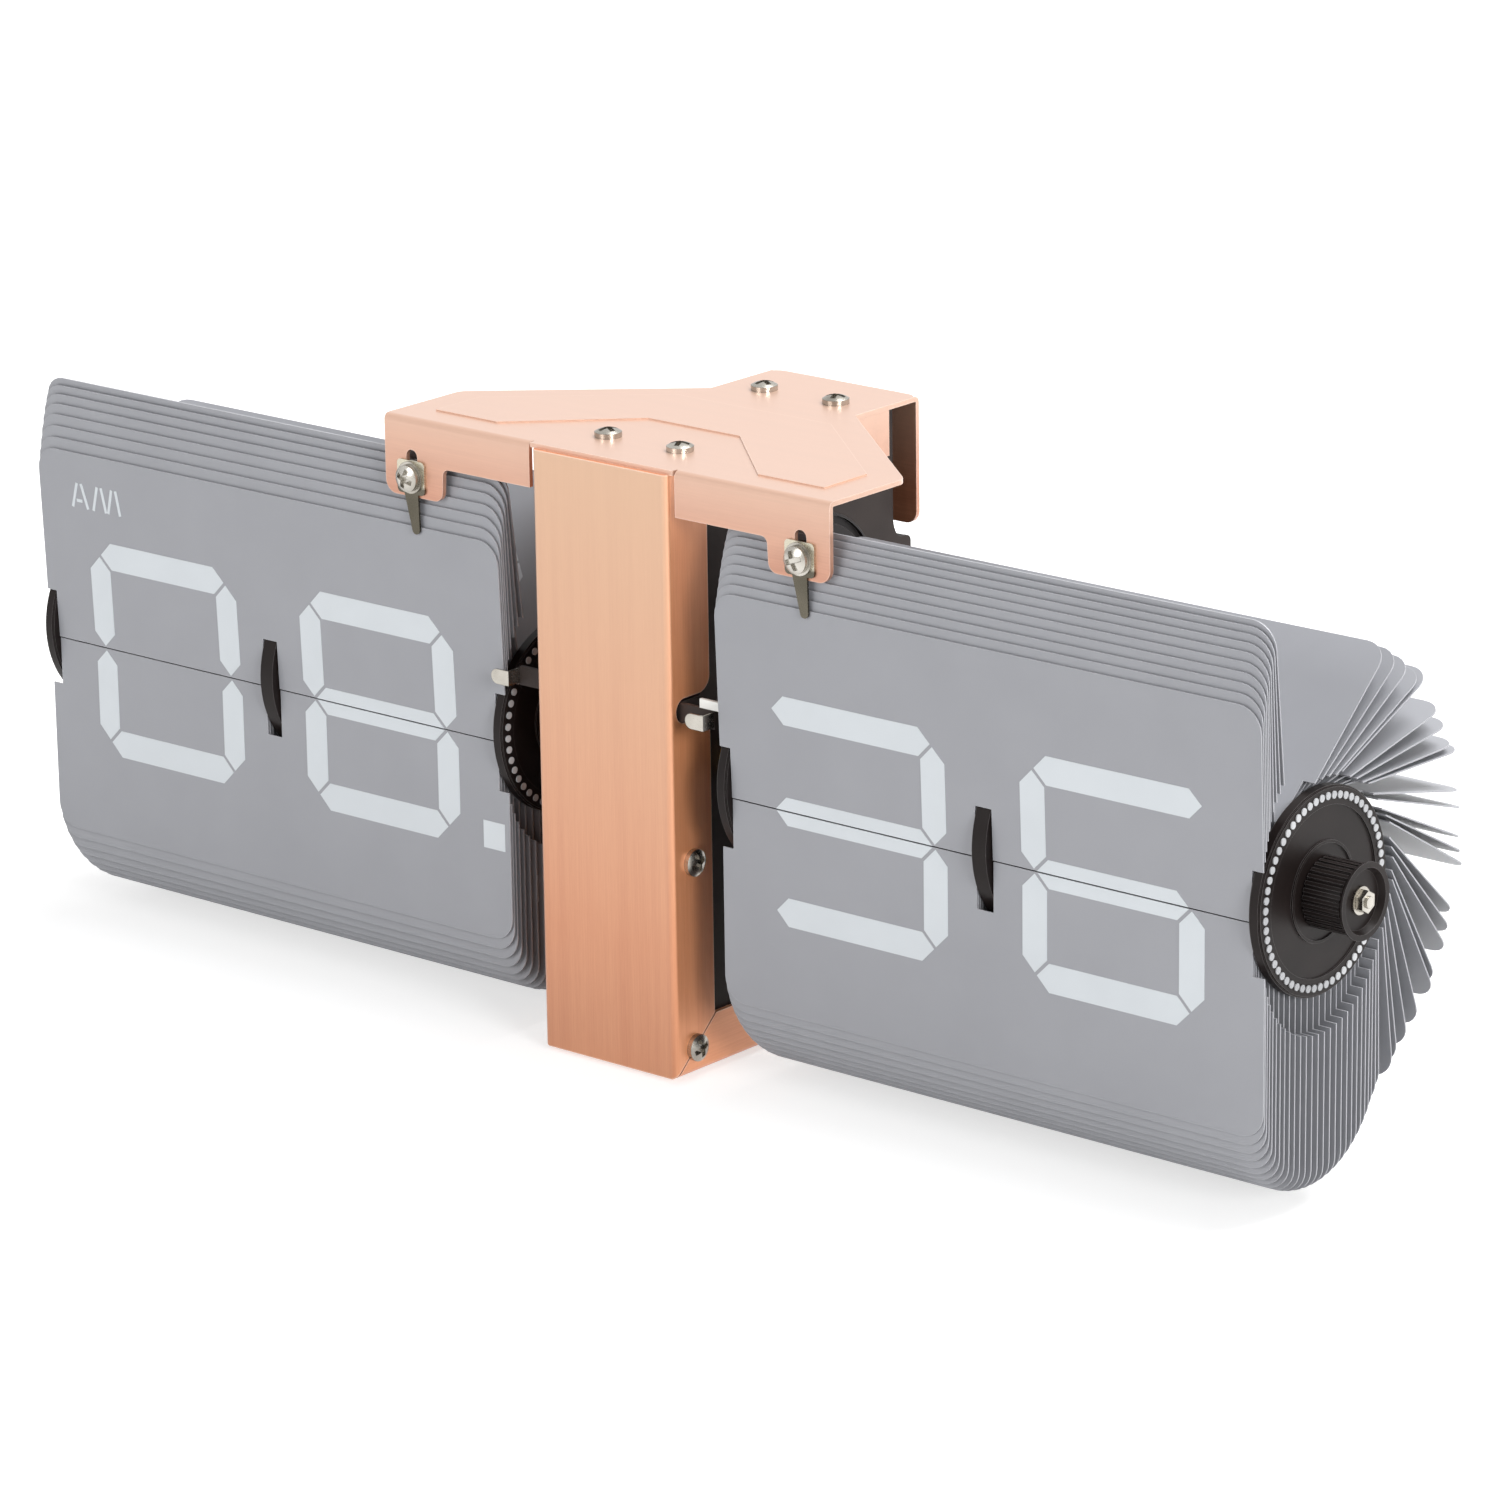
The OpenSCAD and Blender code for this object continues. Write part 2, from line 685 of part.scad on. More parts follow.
module battery_contacts() color(bright_steel) {
    for (z = [door_z + case_gap, door_z + door_h - contact_t - case_gap])
        translate([-contact_w / 2, cell_y - contact_w / 2, z]) cube([contact_w, contact_w, contact_t]);
    translate([0, cell_y, door_z + case_gap + contact_t])
        cylinder(r = contact_w / 4, h = contact_t - 1.5 * case_gap, $fn = small_fn);
    translate([0, cell_y, cell_low + cell_len + case_gap / 2])
        cylinder(r = contact_w / 4, h = door_z + door_h - contact_t - 1.5 * case_gap - cell_low - cell_len,
            $fn = small_fn);
}

module case_screws() color(bright_steel) {
    side_screws() pan_screw(screw_len);
    top_screws() pan_screw(screw_len);
}

// Clips over the showing leaves

// The finger's tip lies off the screw's line by shift
module clip(shift) color(bright_steel) translate([clip_x, flange_y, clip_z]) rotate([90, 0, 0]) difference() {
    linear_extrude(clip_t) polygon(concat(
        rounded([-clip_w / 2, 0], [-clip_w / 2, clip_h / 2], [0, clip_h / 2], clip_corner_r),
        rounded([0, clip_h / 2], [clip_w / 2, clip_h / 2], [clip_w / 2, 0], clip_corner_r),
        rounded([clip_w / 2, 0], [clip_w / 2, -clip_h / 2], [0, -clip_h / 2], clip_corner_r),
        [[finger_root_w / 2, -clip_h / 2]],
        [for (a = [0:-15:-180]) [shift + finger_tip_w / 2 * cos(a),
            finger_tip_w / 2 - clip_h / 2 - finger_len + finger_tip_w / 2 * sin(a)]],
        [[-finger_root_w / 2, -clip_h / 2]],
        rounded([0, -clip_h / 2], [-clip_w / 2, -clip_h / 2], [-clip_w / 2, 0], clip_corner_r)));
    translate([0, 0, -over]) cylinder(r = screw_r + run_gap, h = clip_t + 2 * over, $fn = small_fn);
}

module clip_fixings() color(bright_steel) translate([clip_x, flange_y, clip_z]) rotate([90, 0, 0]) {
    translate([0, 0, clip_t + washer_t + fix_gap]) pan_screw(clip_screw_len);
    translate([0, 0, clip_t]) flat_washer(washer_r, screw_r + run_gap, washer_t);
    translate([0, 0, -copper_t - spring_plate_t]) flat_washer(washer_r, screw_r + fix_gap, spring_plate_t);
}

module minute_clip() clip(finger_shift);
module minute_clip_fixings() clip_fixings();
module hour_clip() mirror([1, 0, 0]) clip(-finger_shift);
module hour_clip_fixings() mirror([1, 0, 0]) clip_fixings();

// Catches on their arms

// side is 1 at the minutes and -1 at the hours, bar is the distance of the catch from the middle
module catch(side, bar) color(bright_steel) {
    bar_x = side * bar;
    tab_end = bar_x - catch_tab_len;
    tab_y = catch_notch_y - catch_tab_out;
    translate([0, tab_y + catch_t, 0]) rotate([90, 0, 0]) linear_extrude(catch_t) {
        translate([tab_end + catch_h / 2, catch_z]) circle(catch_h / 2, $fn = small_fn);
        translate([tab_end + catch_h / 2, catch_z - catch_h / 2])
            square([catch_tab_len - catch_h / 2, catch_h]);
    }
    translate([bar_x - catch_t, tab_y + catch_t, catch_z - catch_h / 2])
        cube([catch_t, arm_front - tab_y - catch_t, catch_h]);
}

module catch_bracket(side, bar) color(dark_steel) on_side(side) {
    translate([chassis_half, arm_front, catch_z - arm_h / 2]) cube([bar - chassis_half, arm_t, arm_h]);
    translate([chassis_half, arm_front + arm_t, catch_z - arm_h / 2]) cube([arm_t, foot_len, arm_h]);
}

module on_side(side) mirror([side < 0 ? 1 : 0, 0, 0]) children();

module minute_catch() catch(1, minute_bar);
module hour_catch() catch(-1, hour_bar);
module minute_catch_bracket() catch_bracket(1, minute_bar);
module hour_catch_bracket() catch_bracket(-1, hour_bar);

module minute_lever() color("#F2F2EE")
    translate([minute_bar - 2 * lever_h, arm_front, catch_z + arm_h / 2])
    cube([leaf_inset - turn_gap - minute_bar + 2 * lever_h, lever_t, lever_h]);

// Movement

// Spur gear drawn along X: a tooth, or with gap a space, points along the angle facing
module spur(x, y, z, teeth, size, bore, facing, gap = false) {
    pitch = 360 / teeth;
    r = teeth * size / 2;
    // Radius and half angle of a tooth at its root, pitch and tip, in shares of the module and pitch
    tooth_shares = [[-1.1, 0.27], [0, 0.215], [0.9, 0.11]];
    start = facing + (gap ? pitch / 2 : 0);
    side = [for (s = tooth_shares) [r + s[0] * size, s[1] * pitch]];
    points = [for (i = [0:teeth - 1]) for (k = [0:5])
        let (s = side[k < 3 ? k : 5 - k], a = start + i * pitch + (k < 3 ? -1 : 1) * s[1])
            s[0] * [cos(a), sin(a)]];
    translate([0, y, z]) along_x(gear_t, x) difference() {
        polygon(points);
        circle(bore, $fn = round_fn);
    }
}

module movement_plate() color(bright_steel) difference() {
    union() {
        along_x(plate_t, -plate_t / 2) polygon([[web_back, plate_low], [plate_rear_low, plate_low],
            [plate_rear_low, plate_step_z], [plate_rear_high, plate_step_z], [plate_rear_high, plate_high],
            [web_back, plate_high]]);
        translate([plate_t / 2, web_back, plate_low])
            cube([plate_foot_w, plate_foot_t, plate_high - plate_low]);
    }
    translate([plate_t / 2, web_back - over, motor_z - motor_r - motor_gap])
        cube([plate_foot_w + over, plate_foot_t + 2 * over, 2 * (motor_r + motor_gap)]);
    on_axle(-plate_t) cylinder(r = axle_r + run_gap, h = 2 * plate_t, $fn = round_fn);
    translate([-plate_t, counter_y, counter_z]) rotate([0, 90, 0])
        cylinder(r = counter_r + run_gap, h = 2 * plate_t, $fn = small_fn);
}

module bush() color(brass_tone) difference() {
    union() {
        on_axle(chassis_in - bush_in)
            cylinder(r = bush_r, h = steel_t + bush_in + bush_flange_t / 2, $fn = round_fn);
        on_axle(chassis_half) cylinder(r = bush_flange_r, h = bush_flange_t, $fn = round_fn);
    }
    on_axle(chassis_in - bush_in - over)
        cylinder(r = axle_r + run_gap, h = steel_t + bush_in + bush_flange_t + 2 * over, $fn = round_fn);
}
module minute_bush() bush();
module hour_bush() mirror([1, 0, 0]) bush();

// Round cover on the chassis side over the gears, with a groove inside its rim
module movement_cover() color(black_plastic) translate([chassis_half, round_cover_y, round_cover_z]) {
    groove_out = round_cover_r - groove_rim;
    groove_in = groove_out - groove_w;
    rotate([0, 90, 0]) rotate_extrude($fn = round_fn) polygon([[0, 0], [round_cover_r, 0],
        [round_cover_r, round_cover_t - cover_chamfer], [round_cover_r - cover_chamfer, round_cover_t],
        [groove_out, round_cover_t], [groove_out, round_cover_t - groove_d],
        [groove_in, round_cover_t - groove_d], [groove_in, round_cover_t - cover_chamfer],
        [groove_in - cover_chamfer, round_cover_t], [0, round_cover_t]]);
}

module drum_axle(end, stub) color(bright_steel) {
    on_axle(axle_start) cylinder(r = axle_r, h = end - axle_start, $fn = round_fn);
    on_axle(end) cylinder(r = stub_r, h = stub, $fn = small_fn);
}
module minute_axle() drum_axle(minute_axle_end, washer_t + nut_t + stub_out);
module hour_axle() mirror([1, 0, 0]) drum_axle(hour_axle_end, nut_t + stub_out);

module minute_pinion() color(brass_tone)
    spur(pinion_x, axle_y, axle_z, pinion_teeth, coarse_module, axle_r + fix_gap, counter_angle);
module minute_drive_gear() color(brass_tone)
    spur(drive_x, axle_y, axle_z, wheel_teeth, coarse_module, axle_r + fix_gap, motor_angle);
module hour_gear() color(brass_tone)
    spur(hour_gear_x, axle_y, axle_z, fine_wheel_teeth, fine_module, axle_r + fix_gap, counter_angle);
module counter_gear() color(brass_tone)
    spur(pinion_x, counter_y, counter_z, wheel_teeth, coarse_module, counter_r + fix_gap,
        counter_angle + 180, true);
module counter_pinion() color(brass_tone)
    spur(hour_gear_x, counter_y, counter_z, fine_pinion_teeth, fine_module, counter_r + fix_gap,
        counter_angle + 180, true);
module countershaft() color(bright_steel) translate([run_gap - chassis_half, counter_y, counter_z])
    rotate([0, 90, 0]) cylinder(r = counter_r, h = chassis_w - 2 * run_gap, $fn = small_fn);

module motor() color(bright_steel) translate([plate_t / 2, motor_y, motor_z])
    rotate([0, 90, 0]) difference() {
    cylinder(r = motor_r, h = motor_t, $fn = round_fn);
    translate([0, 0, motor_t / 2]) cylinder(r = motor_shaft_r + run_gap, h = motor_t, $fn = small_fn);
}

module motor_pinion() color(bright_steel) {
    spur(drive_x, motor_y, motor_z, pinion_teeth, coarse_module, motor_shaft_r / 2, motor_angle + 180, true);
    translate([plate_t / 2 + motor_t / 2 + run_gap, motor_y, motor_z]) rotate([0, 90, 0])
        cylinder(r = motor_shaft_r, h = drive_x + gear_t - (plate_t + motor_t) / 2 - run_gap,
            $fn = small_fn);
}

module driver_board() color("#2F6B45")
    translate([-plate_t / 2 - board_t, web_back + 2 * plate_foot_t, plate_low + plate_t])
    cube([board_t, board_len, board_h]);

// Drums

// End disc drawn up from its inner face, with a raised rim, a bead round the hub and a bore
module end_disc(sleeve = 0) difference() {
    rotate_extrude($fn = round_fn) {
        square([disc_r - disc_edge, disc_t - web_recess]);
        translate([disc_r - 2 * disc_rim, disc_edge]) square([2 * disc_rim, disc_t - 2 * disc_edge]);
        translate([disc_r - 2 * disc_rim, 0]) square([2 * disc_rim - disc_edge, disc_t]);
        translate([bead_r - bead_w / 2, 0]) square([bead_w, disc_t]);
        square([sleeve_r, disc_t + sleeve]);
    }
    translate([0, 0, -over]) cylinder(r = axle_r + fix_gap, h = disc_t + sleeve + 2 * over, $fn = round_fn);
}

module outer_disc() color(black_plastic) on_axle(disc_out_x - disc_t) end_disc();
module inner_disc() color(black_plastic) translate([disc_in_x + disc_t, axle_y, axle_z]) rotate([0, -90, 0])
    end_disc(disc_in_x - sleeve_start);
module middle_disc() color(black_plastic) on_axle(leaf_mid - middle_disc_t / 2) difference() {
    cylinder(r = disc_r, h = middle_disc_t, $fn = round_fn);
    translate([0, 0, -over]) cylinder(r = barrel_r + fix_gap, h = middle_disc_t + 2 * over, $fn = round_fn);
}
module barrel() color(black_plastic) on_axle(disc_in_x + disc_t + fix_gap) difference() {
    cylinder(r = barrel_r, h = barrel_len, $fn = round_fn);
    translate([0, 0, -over]) cylinder(r = barrel_r - barrel_wall, h = barrel_len + 2 * over, $fn = round_fn);
}

// The ends of the leaf pins on the outer faces of both end discs
module pin_ends(count) color(numeral_white) for (i = [0:count - 1]) {
    a = pin_angle(i, 360 / count);
    translate([0, pin_y(a), pin_z(a)]) for (x = [disc_out_x, disc_in_x - pin_end_h])
        translate([x, 0, 0]) rotate([0, 90, 0]) cylinder(r = pin_end_r, h = pin_end_h, $fn = 16);
}

module minute_outer_disc() outer_disc();
module minute_middle_disc() middle_disc();
module minute_inner_disc() inner_disc();
module minute_barrel() barrel();
module minute_pin_ends() pin_ends(minute_leaves);
module hour_outer_disc() mirror([1, 0, 0]) outer_disc();
module hour_middle_disc() mirror([1, 0, 0]) middle_disc();
module hour_inner_disc() mirror([1, 0, 0]) inner_disc();
module hour_barrel() mirror([1, 0, 0]) barrel();
module hour_pin_ends() mirror([1, 0, 0]) pin_ends(hour_leaves);

module setting_knob() color(black_plastic) on_axle(disc_out_x + fix_gap) difference() {
    end = knob_len - fix_gap;
    union() {
        linear_extrude(end - knob_lip) union() {
            circle(knob_r - knob_rib_h, $fn = round_fn);
            for (i = [0:knob_ribs - 1]) rotate(i * 360 / knob_ribs) translate([0, -knob_rib_h])
                square([knob_r, 2 * knob_rib_h]);
        }
        translate([0, 0, end - knob_lip - knob_flare])
            cylinder(r1 = knob_r - knob_rib_h, r2 = knob_rim_r, h = knob_flare, $fn = round_fn);
        translate([0, 0, end - knob_lip]) cylinder(r = knob_rim_r, h = knob_lip, $fn = round_fn);
    }
    translate([0, 0, -over]) cylinder(r = axle_r + fix_gap, h = knob_len + 2 * over, $fn = round_fn);
    translate([0, 0, end - knob_cup_d]) cylinder(r1 = knob_r - knob_rib_h - knob_cup_wall,
        r2 = knob_rim_r - knob_cup_wall, h = knob_cup_d + over, $fn = round_fn);
}

module flat_washer(r, bore, t) difference() {
    cylinder(r = r, h = t, $fn = small_fn);
    translate([0, 0, -over]) cylinder(r = bore, h = t + 2 * over, $fn = small_fn);
}

// Washer and nut in the knob's cup
module knob_fixings() color(bright_steel) on_axle(minute_axle_end + fix_gap) {
    flat_washer(knob_washer_r, stub_r + fix_gap, washer_t);
    translate([0, 0, washer_t + fix_gap]) hex_nut(nut_r, stub_r, nut_t);
}
module hour_end_nut() color(bright_steel) mirror([1, 0, 0]) on_axle(hour_axle_end + fix_gap)
    hex_nut(nut_r, stub_r, nut_t);

// Leaves

// Angle of pin i round the drum, from +Y towards +Z: pin 0 holds the showing upper leaf
function pin_angle(i, pitch) = 180 + seam_angle - pitch / 2 - i * pitch;
function pin_y(a) = axle_y + pin_r * cos(a);
function pin_z(a) = axle_z + pin_r * sin(a);
// Height of the first pin above the seam
function lead(pitch) = pin_r * (sin(seam_angle) - sin(seam_angle - pitch / 2));

function leaf_reach(pitch) = leaf_h - lead(pitch);
function first_y(pitch) = pin_y(pin_angle(0, pitch));

// Root and direction of leaf i: the tips of upright leaves step back evenly, the rest follow the fan
function root_y(i, pitch) = let (a = pin_angle(i, pitch))
    a > upright_angle ? max(pin_y(a), first_y(pitch) + i * root_step) : pin_y(a);
function leaf_angle(i, pitch) =
    let (a = pin_angle(i, pitch), tip_y = first_y(pitch) - leaf_reach(pitch) * sin(front_lean) + i * tip_step)
    a <= upright_angle ? lookup(a, rear_fan_angles)
        : 90 + asin((root_y(i, pitch) - tip_y) / leaf_reach(pitch));

module leaf_outline(pitch) {
    low = seam_gap / 2 - lead(pitch);
    step = notch_h - lead(pitch);
    high = leaf_reach(pitch);
    r = leaf_corner_r;
    m = leaf_w / 2;
    s = slot_w / 2;
    polygon(concat([[notch_d, low], [m - s, low], [m - s, step], [m + s, step], [m + s, low],
        [leaf_w - notch_d, low], [leaf_w - notch_d, step], [leaf_w, step]],
        arc([leaf_w - r, high - r], r, 0, 90, corner_fn), arc([r, high - r], r, 90, 180, corner_fn),
        [[0, step], [notch_d, step]]));
}

module leaf(i, pitch) translate([leaf_inset, root_y(i, pitch), pin_z(pin_angle(i, pitch))])
    rotate([leaf_angle(i, pitch), 0, 0]) linear_extrude(leaf_t, center = true) leaf_outline(pitch);

// The leaves whose pins lie between two angles round the drum
module leaves(count, from, to) color(leaf_grey) for (i = [1:count - 1]) {
    a = pin_angle(i, 360 / count);
    if (a < from && a >= to) leaf(i, 360 / count);
}

module minute_front_leaf() color(leaf_grey) leaf(0, minute_pitch);
module minute_upper_leaves() leaves(minute_leaves, 180, upright_angle);
module minute_rear_leaves() leaves(minute_leaves, upright_angle, rear_end_angle);
module minute_hanging_leaves() leaves(minute_leaves, rear_end_angle, -180);
module hour_front_leaf() color(leaf_grey) mirror([1, 0, 0]) leaf(0, hour_pitch);
module hour_upper_leaves() mirror([1, 0, 0]) leaves(hour_leaves, 180, upright_angle);
module hour_rear_leaves() mirror([1, 0, 0]) leaves(hour_leaves, upright_angle, rear_end_angle);
module hour_hanging_leaves() mirror([1, 0, 0]) leaves(hour_leaves, rear_end_angle, -180);

// Numerals

// One stroke from tip to tip, with its two ends pointed or drawn out square by ext
module stroke_bar(length, ext_left = 0, ext_right = 0) {
    h = stroke / 2;
    polygon([[-length / 2 - ext_left, 0], [h - length / 2 - ext_left, h], [length / 2 - h + ext_right, h],
        [length / 2 + ext_right, 0], [length / 2 - h + ext_right, -h], [h - length / 2 - ext_left, -h]]);
}

// A numeral of up to seven strokes: on lists the top, upper left, upper right, middle, lower left,
// lower right and bottom stroke
module digit(on, open_left = [0, 0, 0], open_right = [0, 0, 0]) {
    across = digit_w - stroke - 2 * stroke_gap;
    up = digit_h / 2 - stroke / 2 - 2 * stroke_gap;
    x = (digit_w - stroke) / 2;
    z = (digit_h - stroke) / 2;
    rows = [z, 0, -z];
    for (k = [0:2]) if (on[3 * k])
        translate([0, rows[k]]) stroke_bar(across, open_left[k] * free_end, open_right[k] * free_end);
    for (s = [-1, 1], t = [-1, 1]) if (on[(t > 0 ? 1 : 4) + (s > 0 ? 1 : 0)])
        translate([s * x, t * z / 2]) rotate(90) stroke_bar(up);
}

module hour_digits() {
    translate([-leaf_mid - far_digit, 0]) digit([1, 1, 1, 0, 1, 1, 1]);
    translate([-leaf_mid + near_digit, 0]) digit([1, 1, 1, 1, 1, 1, 1]);
    translate([-leaf_inset - point_in - point_w / 2, -point_z - point_w / 2]) square(point_w);
    translate([letter_in - leaf_far, letter_z]) for (s = letter_shares) {
        a = letter_h * [s[0], s[1]];
        b = letter_h * [s[2], s[3]];
        side = letter_stroke / 2 * [unit(b - a)[1], -unit(b - a)[0]];
        polygon([a + side, b + side, b - side, a - side]);
    }
}

module minute_digits() {
    translate([leaf_mid - near_digit, 0]) digit([1, 0, 1, 1, 0, 1, 1], open_left = [1, 1, 1]);
    translate([leaf_mid + far_digit, 0]) digit([1, 1, 0, 1, 1, 1, 1], open_right = [1, 0, 0]);
}

// Keeps the half of the numerals above or below the seam
module half(side) intersection() {
    children();
    translate([-leaf_far, side > 0 ? seam_gap / 2 : -leaf_h]) square([2 * leaf_far, leaf_h - seam_gap / 2]);
}

module upper_print(pitch) color(numeral_white)
    translate([0, first_y(pitch), pin_z(pin_angle(0, pitch))]) rotate([90 + front_lean, 0, 0])
    translate([0, -lead(pitch), leaf_t / 2]) linear_extrude(ink_t) half(1) children();
module lower_print(pitch) color(numeral_white)
    translate([0, pin_y(pin_angle(-1, pitch)) - leaf_t / 2, seam_z]) rotate([90, 0, 0])
    linear_extrude(ink_t) half(-1) children();

module minute_upper_digits() upper_print(minute_pitch) minute_digits();
module minute_lower_digits() lower_print(minute_pitch) minute_digits();
module hour_upper_digits() upper_print(hour_pitch) hour_digits();
module hour_lower_digits() lower_print(hour_pitch) hour_digits();

chassis();
column_cover();
top_bracket();
base_tray();
base_pad();
rear_cover();
battery_door();
battery_holder();
battery_cell();
battery_contacts();
case_screws();
minute_clip();
minute_clip_fixings();
hour_clip();
hour_clip_fixings();
minute_catch();
minute_catch_bracket();
minute_lever();
hour_catch();
hour_catch_bracket();
movement_plate();
movement_cover();
minute_bush();
hour_bush();
minute_axle();
hour_axle();
minute_drive_gear();
minute_pinion();
hour_gear();
countershaft();
counter_gear();
counter_pinion();
motor();
motor_pinion();
driver_board();
minute_outer_disc();
minute_middle_disc();
minute_inner_disc();
minute_barrel();
minute_pin_ends();
setting_knob();
knob_fixings();
hour_outer_disc();
hour_middle_disc();
hour_inner_disc();
hour_barrel();
hour_pin_ends();
hour_end_nut();
minute_front_leaf();
minute_upper_leaves();
minute_rear_leaves();
minute_hanging_leaves();
hour_front_leaf();
hour_upper_leaves();
hour_rear_leaves();
hour_hanging_leaves();
minute_upper_digits();
minute_lower_digits();
hour_upper_digits();
hour_lower_digits();
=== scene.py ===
"""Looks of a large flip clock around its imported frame.

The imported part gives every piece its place: X runs along the clock with the minutes at +X, Y goes to the
back and Z is up. Lengths are in metres. The script dresses each piece with a procedural finish, prints the
numerals on all leaves, and sets the floor, the lamps and the camera.
"""
import json
import logging
import math
from dataclasses import dataclass, field
from enum import Enum

import bpy
import numpy as np
from mathutils import Matrix, Vector


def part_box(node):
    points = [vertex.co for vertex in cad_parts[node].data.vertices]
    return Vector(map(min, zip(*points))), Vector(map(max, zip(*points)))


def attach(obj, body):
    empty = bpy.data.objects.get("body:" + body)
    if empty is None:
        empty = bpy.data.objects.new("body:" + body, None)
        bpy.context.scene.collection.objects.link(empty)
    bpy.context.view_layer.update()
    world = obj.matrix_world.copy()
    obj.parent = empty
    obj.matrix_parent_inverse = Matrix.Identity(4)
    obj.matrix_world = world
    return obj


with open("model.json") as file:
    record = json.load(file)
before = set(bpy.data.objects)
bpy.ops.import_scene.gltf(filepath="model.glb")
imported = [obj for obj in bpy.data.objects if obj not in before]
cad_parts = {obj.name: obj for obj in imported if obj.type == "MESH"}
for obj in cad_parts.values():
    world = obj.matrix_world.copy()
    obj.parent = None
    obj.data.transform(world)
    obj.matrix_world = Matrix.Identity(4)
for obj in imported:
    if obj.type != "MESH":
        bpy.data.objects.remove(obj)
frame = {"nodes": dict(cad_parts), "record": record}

log = logging.getLogger("flip_clock")

MM = 0.001
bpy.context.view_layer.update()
SAME_PLACE_DIGITS = 7

Colour = tuple[float, float, float, float]
Socket = bpy.types.NodeSocket
Value = Socket | float
WHITE: Colour = (1.0, 1.0, 1.0, 1.0)


class Grain(Enum):
    """Direction of a brushed grain, as the stretch of its pattern along X, Y and Z."""

    UPRIGHT = (1.0, 1.0, 0.012)
    LENGTHWISE = (0.012, 1.0, 1.0)
    DEEP = (1.0, 0.012, 1.0)
    NONE = (1.0, 1.0, 1.0)


class Side(Enum):
    """The two halves of the clock, by the sign of X."""

    MINUTE = 1
    HOUR = -1

    @property
    def word(self) -> str:
        """The prefix of this side's node names."""
        return self.name.lower()


def srgb(red: int, green: int, blue: int) -> Colour:
    """Turns a display colour into the linear colour that a shader takes, by the sRGB standard's own curve.

    Args:
        red, green, blue: the display colour, each from 0 to 255.

    Returns:
        The linear colour with an alpha of 1.
    """
    shares = [c / 255 for c in (red, green, blue)]
    return tuple(c / 12.92 if c <= 0.04045 else ((c + 0.055) / 1.055) ** 2.4 for c in shares) + (1.0,)


class Tree:
    """A node tree with short ways to add and join nodes."""

    def __init__(self, nodes: bpy.types.NodeTree) -> None:
        """Empties the tree that it is given."""
        self.tree = nodes
        nodes.nodes.clear()

    def add(self, kind: str, links: dict | None = None, **settings: object) -> bpy.types.Node:
        """Adds a node.

        Args:
            kind: the node's type without its ShaderNode prefix, or a whole type name.
            links: what goes into each input, by name or index: an output socket or a plain value.
            settings: attributes of the node, set first because a group's inputs come with its tree.

        Returns:
            The new node.
        """
        node = self.tree.nodes.new(kind if kind.startswith("Node") else "ShaderNode" + kind)
        for name, value in settings.items():
            setattr(node, name, value)
        for name, value in (links or {}).items():
            if isinstance(value, Socket):
                self.tree.links.new(value, node.inputs[name])
            else:
                node.inputs[name].default_value = value
        return node

    def maths(self, operation: str, *values: Value) -> Socket:
        """The result of a Math node on one to three sockets or numbers."""
        return self.add("Math", dict(enumerate(values)), operation=operation).outputs[0]

    def blend(self, factor: Value, low: Value | Colour, high: Value | Colour) -> Socket:
        """A colour that goes from low to high with the factor: a Mix node's colours are inputs 6 and 7."""
        return self.add("Mix", {0: factor, 6: low, 7: high}, data_type="RGBA").outputs[2]

    def noise(self, vector: Value, scale: Value, detail: float, roughness: float = 0.5) -> Socket:
        """A noise from 0 to 1."""
        links = {"Vector": vector, "Scale": scale, "Detail": detail, "Roughness": roughness}
        return self.add("TexNoise", links).outputs[0]

    def times(self, value: Value, factor: Value) -> Socket:
        """A product."""
        return self.maths("MULTIPLY", value, factor)

    def span(self, factor: Value, low: float, high: float) -> Socket:
        """A value that goes from low to high as the factor goes from 0 to 1."""
        return self.add("MapRange", {0: factor, 3: low, 4: high}).outputs[0]

    def stretch(self, value: Value, low: float, high: float) -> Socket:
        """A factor that goes from 0 to 1 as the value goes from low to high."""
        return self.add("MapRange", {0: value, 1: low, 2: high}).outputs[0]

    def along(self, direction: Value, axis: Value | tuple[float, float, float]) -> Socket:
        """How far a direction points along an axis, from -1 to 1."""
        return self.add("VectorMath", {0: direction, 1: axis}, operation="DOT_PRODUCT").outputs["Value"]


def new_group(name: str, inputs: dict[str, str], outputs: tuple[str, ...]) -> tuple[Tree, dict]:
    """Starts a shared node group.

    Args:
        name: the group's name.
        inputs: what it takes, each with its kind of socket, Vector or Float.
        outputs: the values that it gives.

    Returns:
        The group's tree and the sockets of what it takes, by name.
    """
    group = bpy.data.node_groups.new(name, "ShaderNodeTree")
    for label, kind in inputs.items():
        group.interface.new_socket(label, in_out="INPUT", socket_type="NodeSocket" + kind)
    for label in outputs:
        group.interface.new_socket(label, in_out="OUTPUT", socket_type="NodeSocketFloat")
    tree = Tree(group)
    given = tree.add("NodeGroupInput").outputs
    return tree, {label: given[label] for label in inputs}


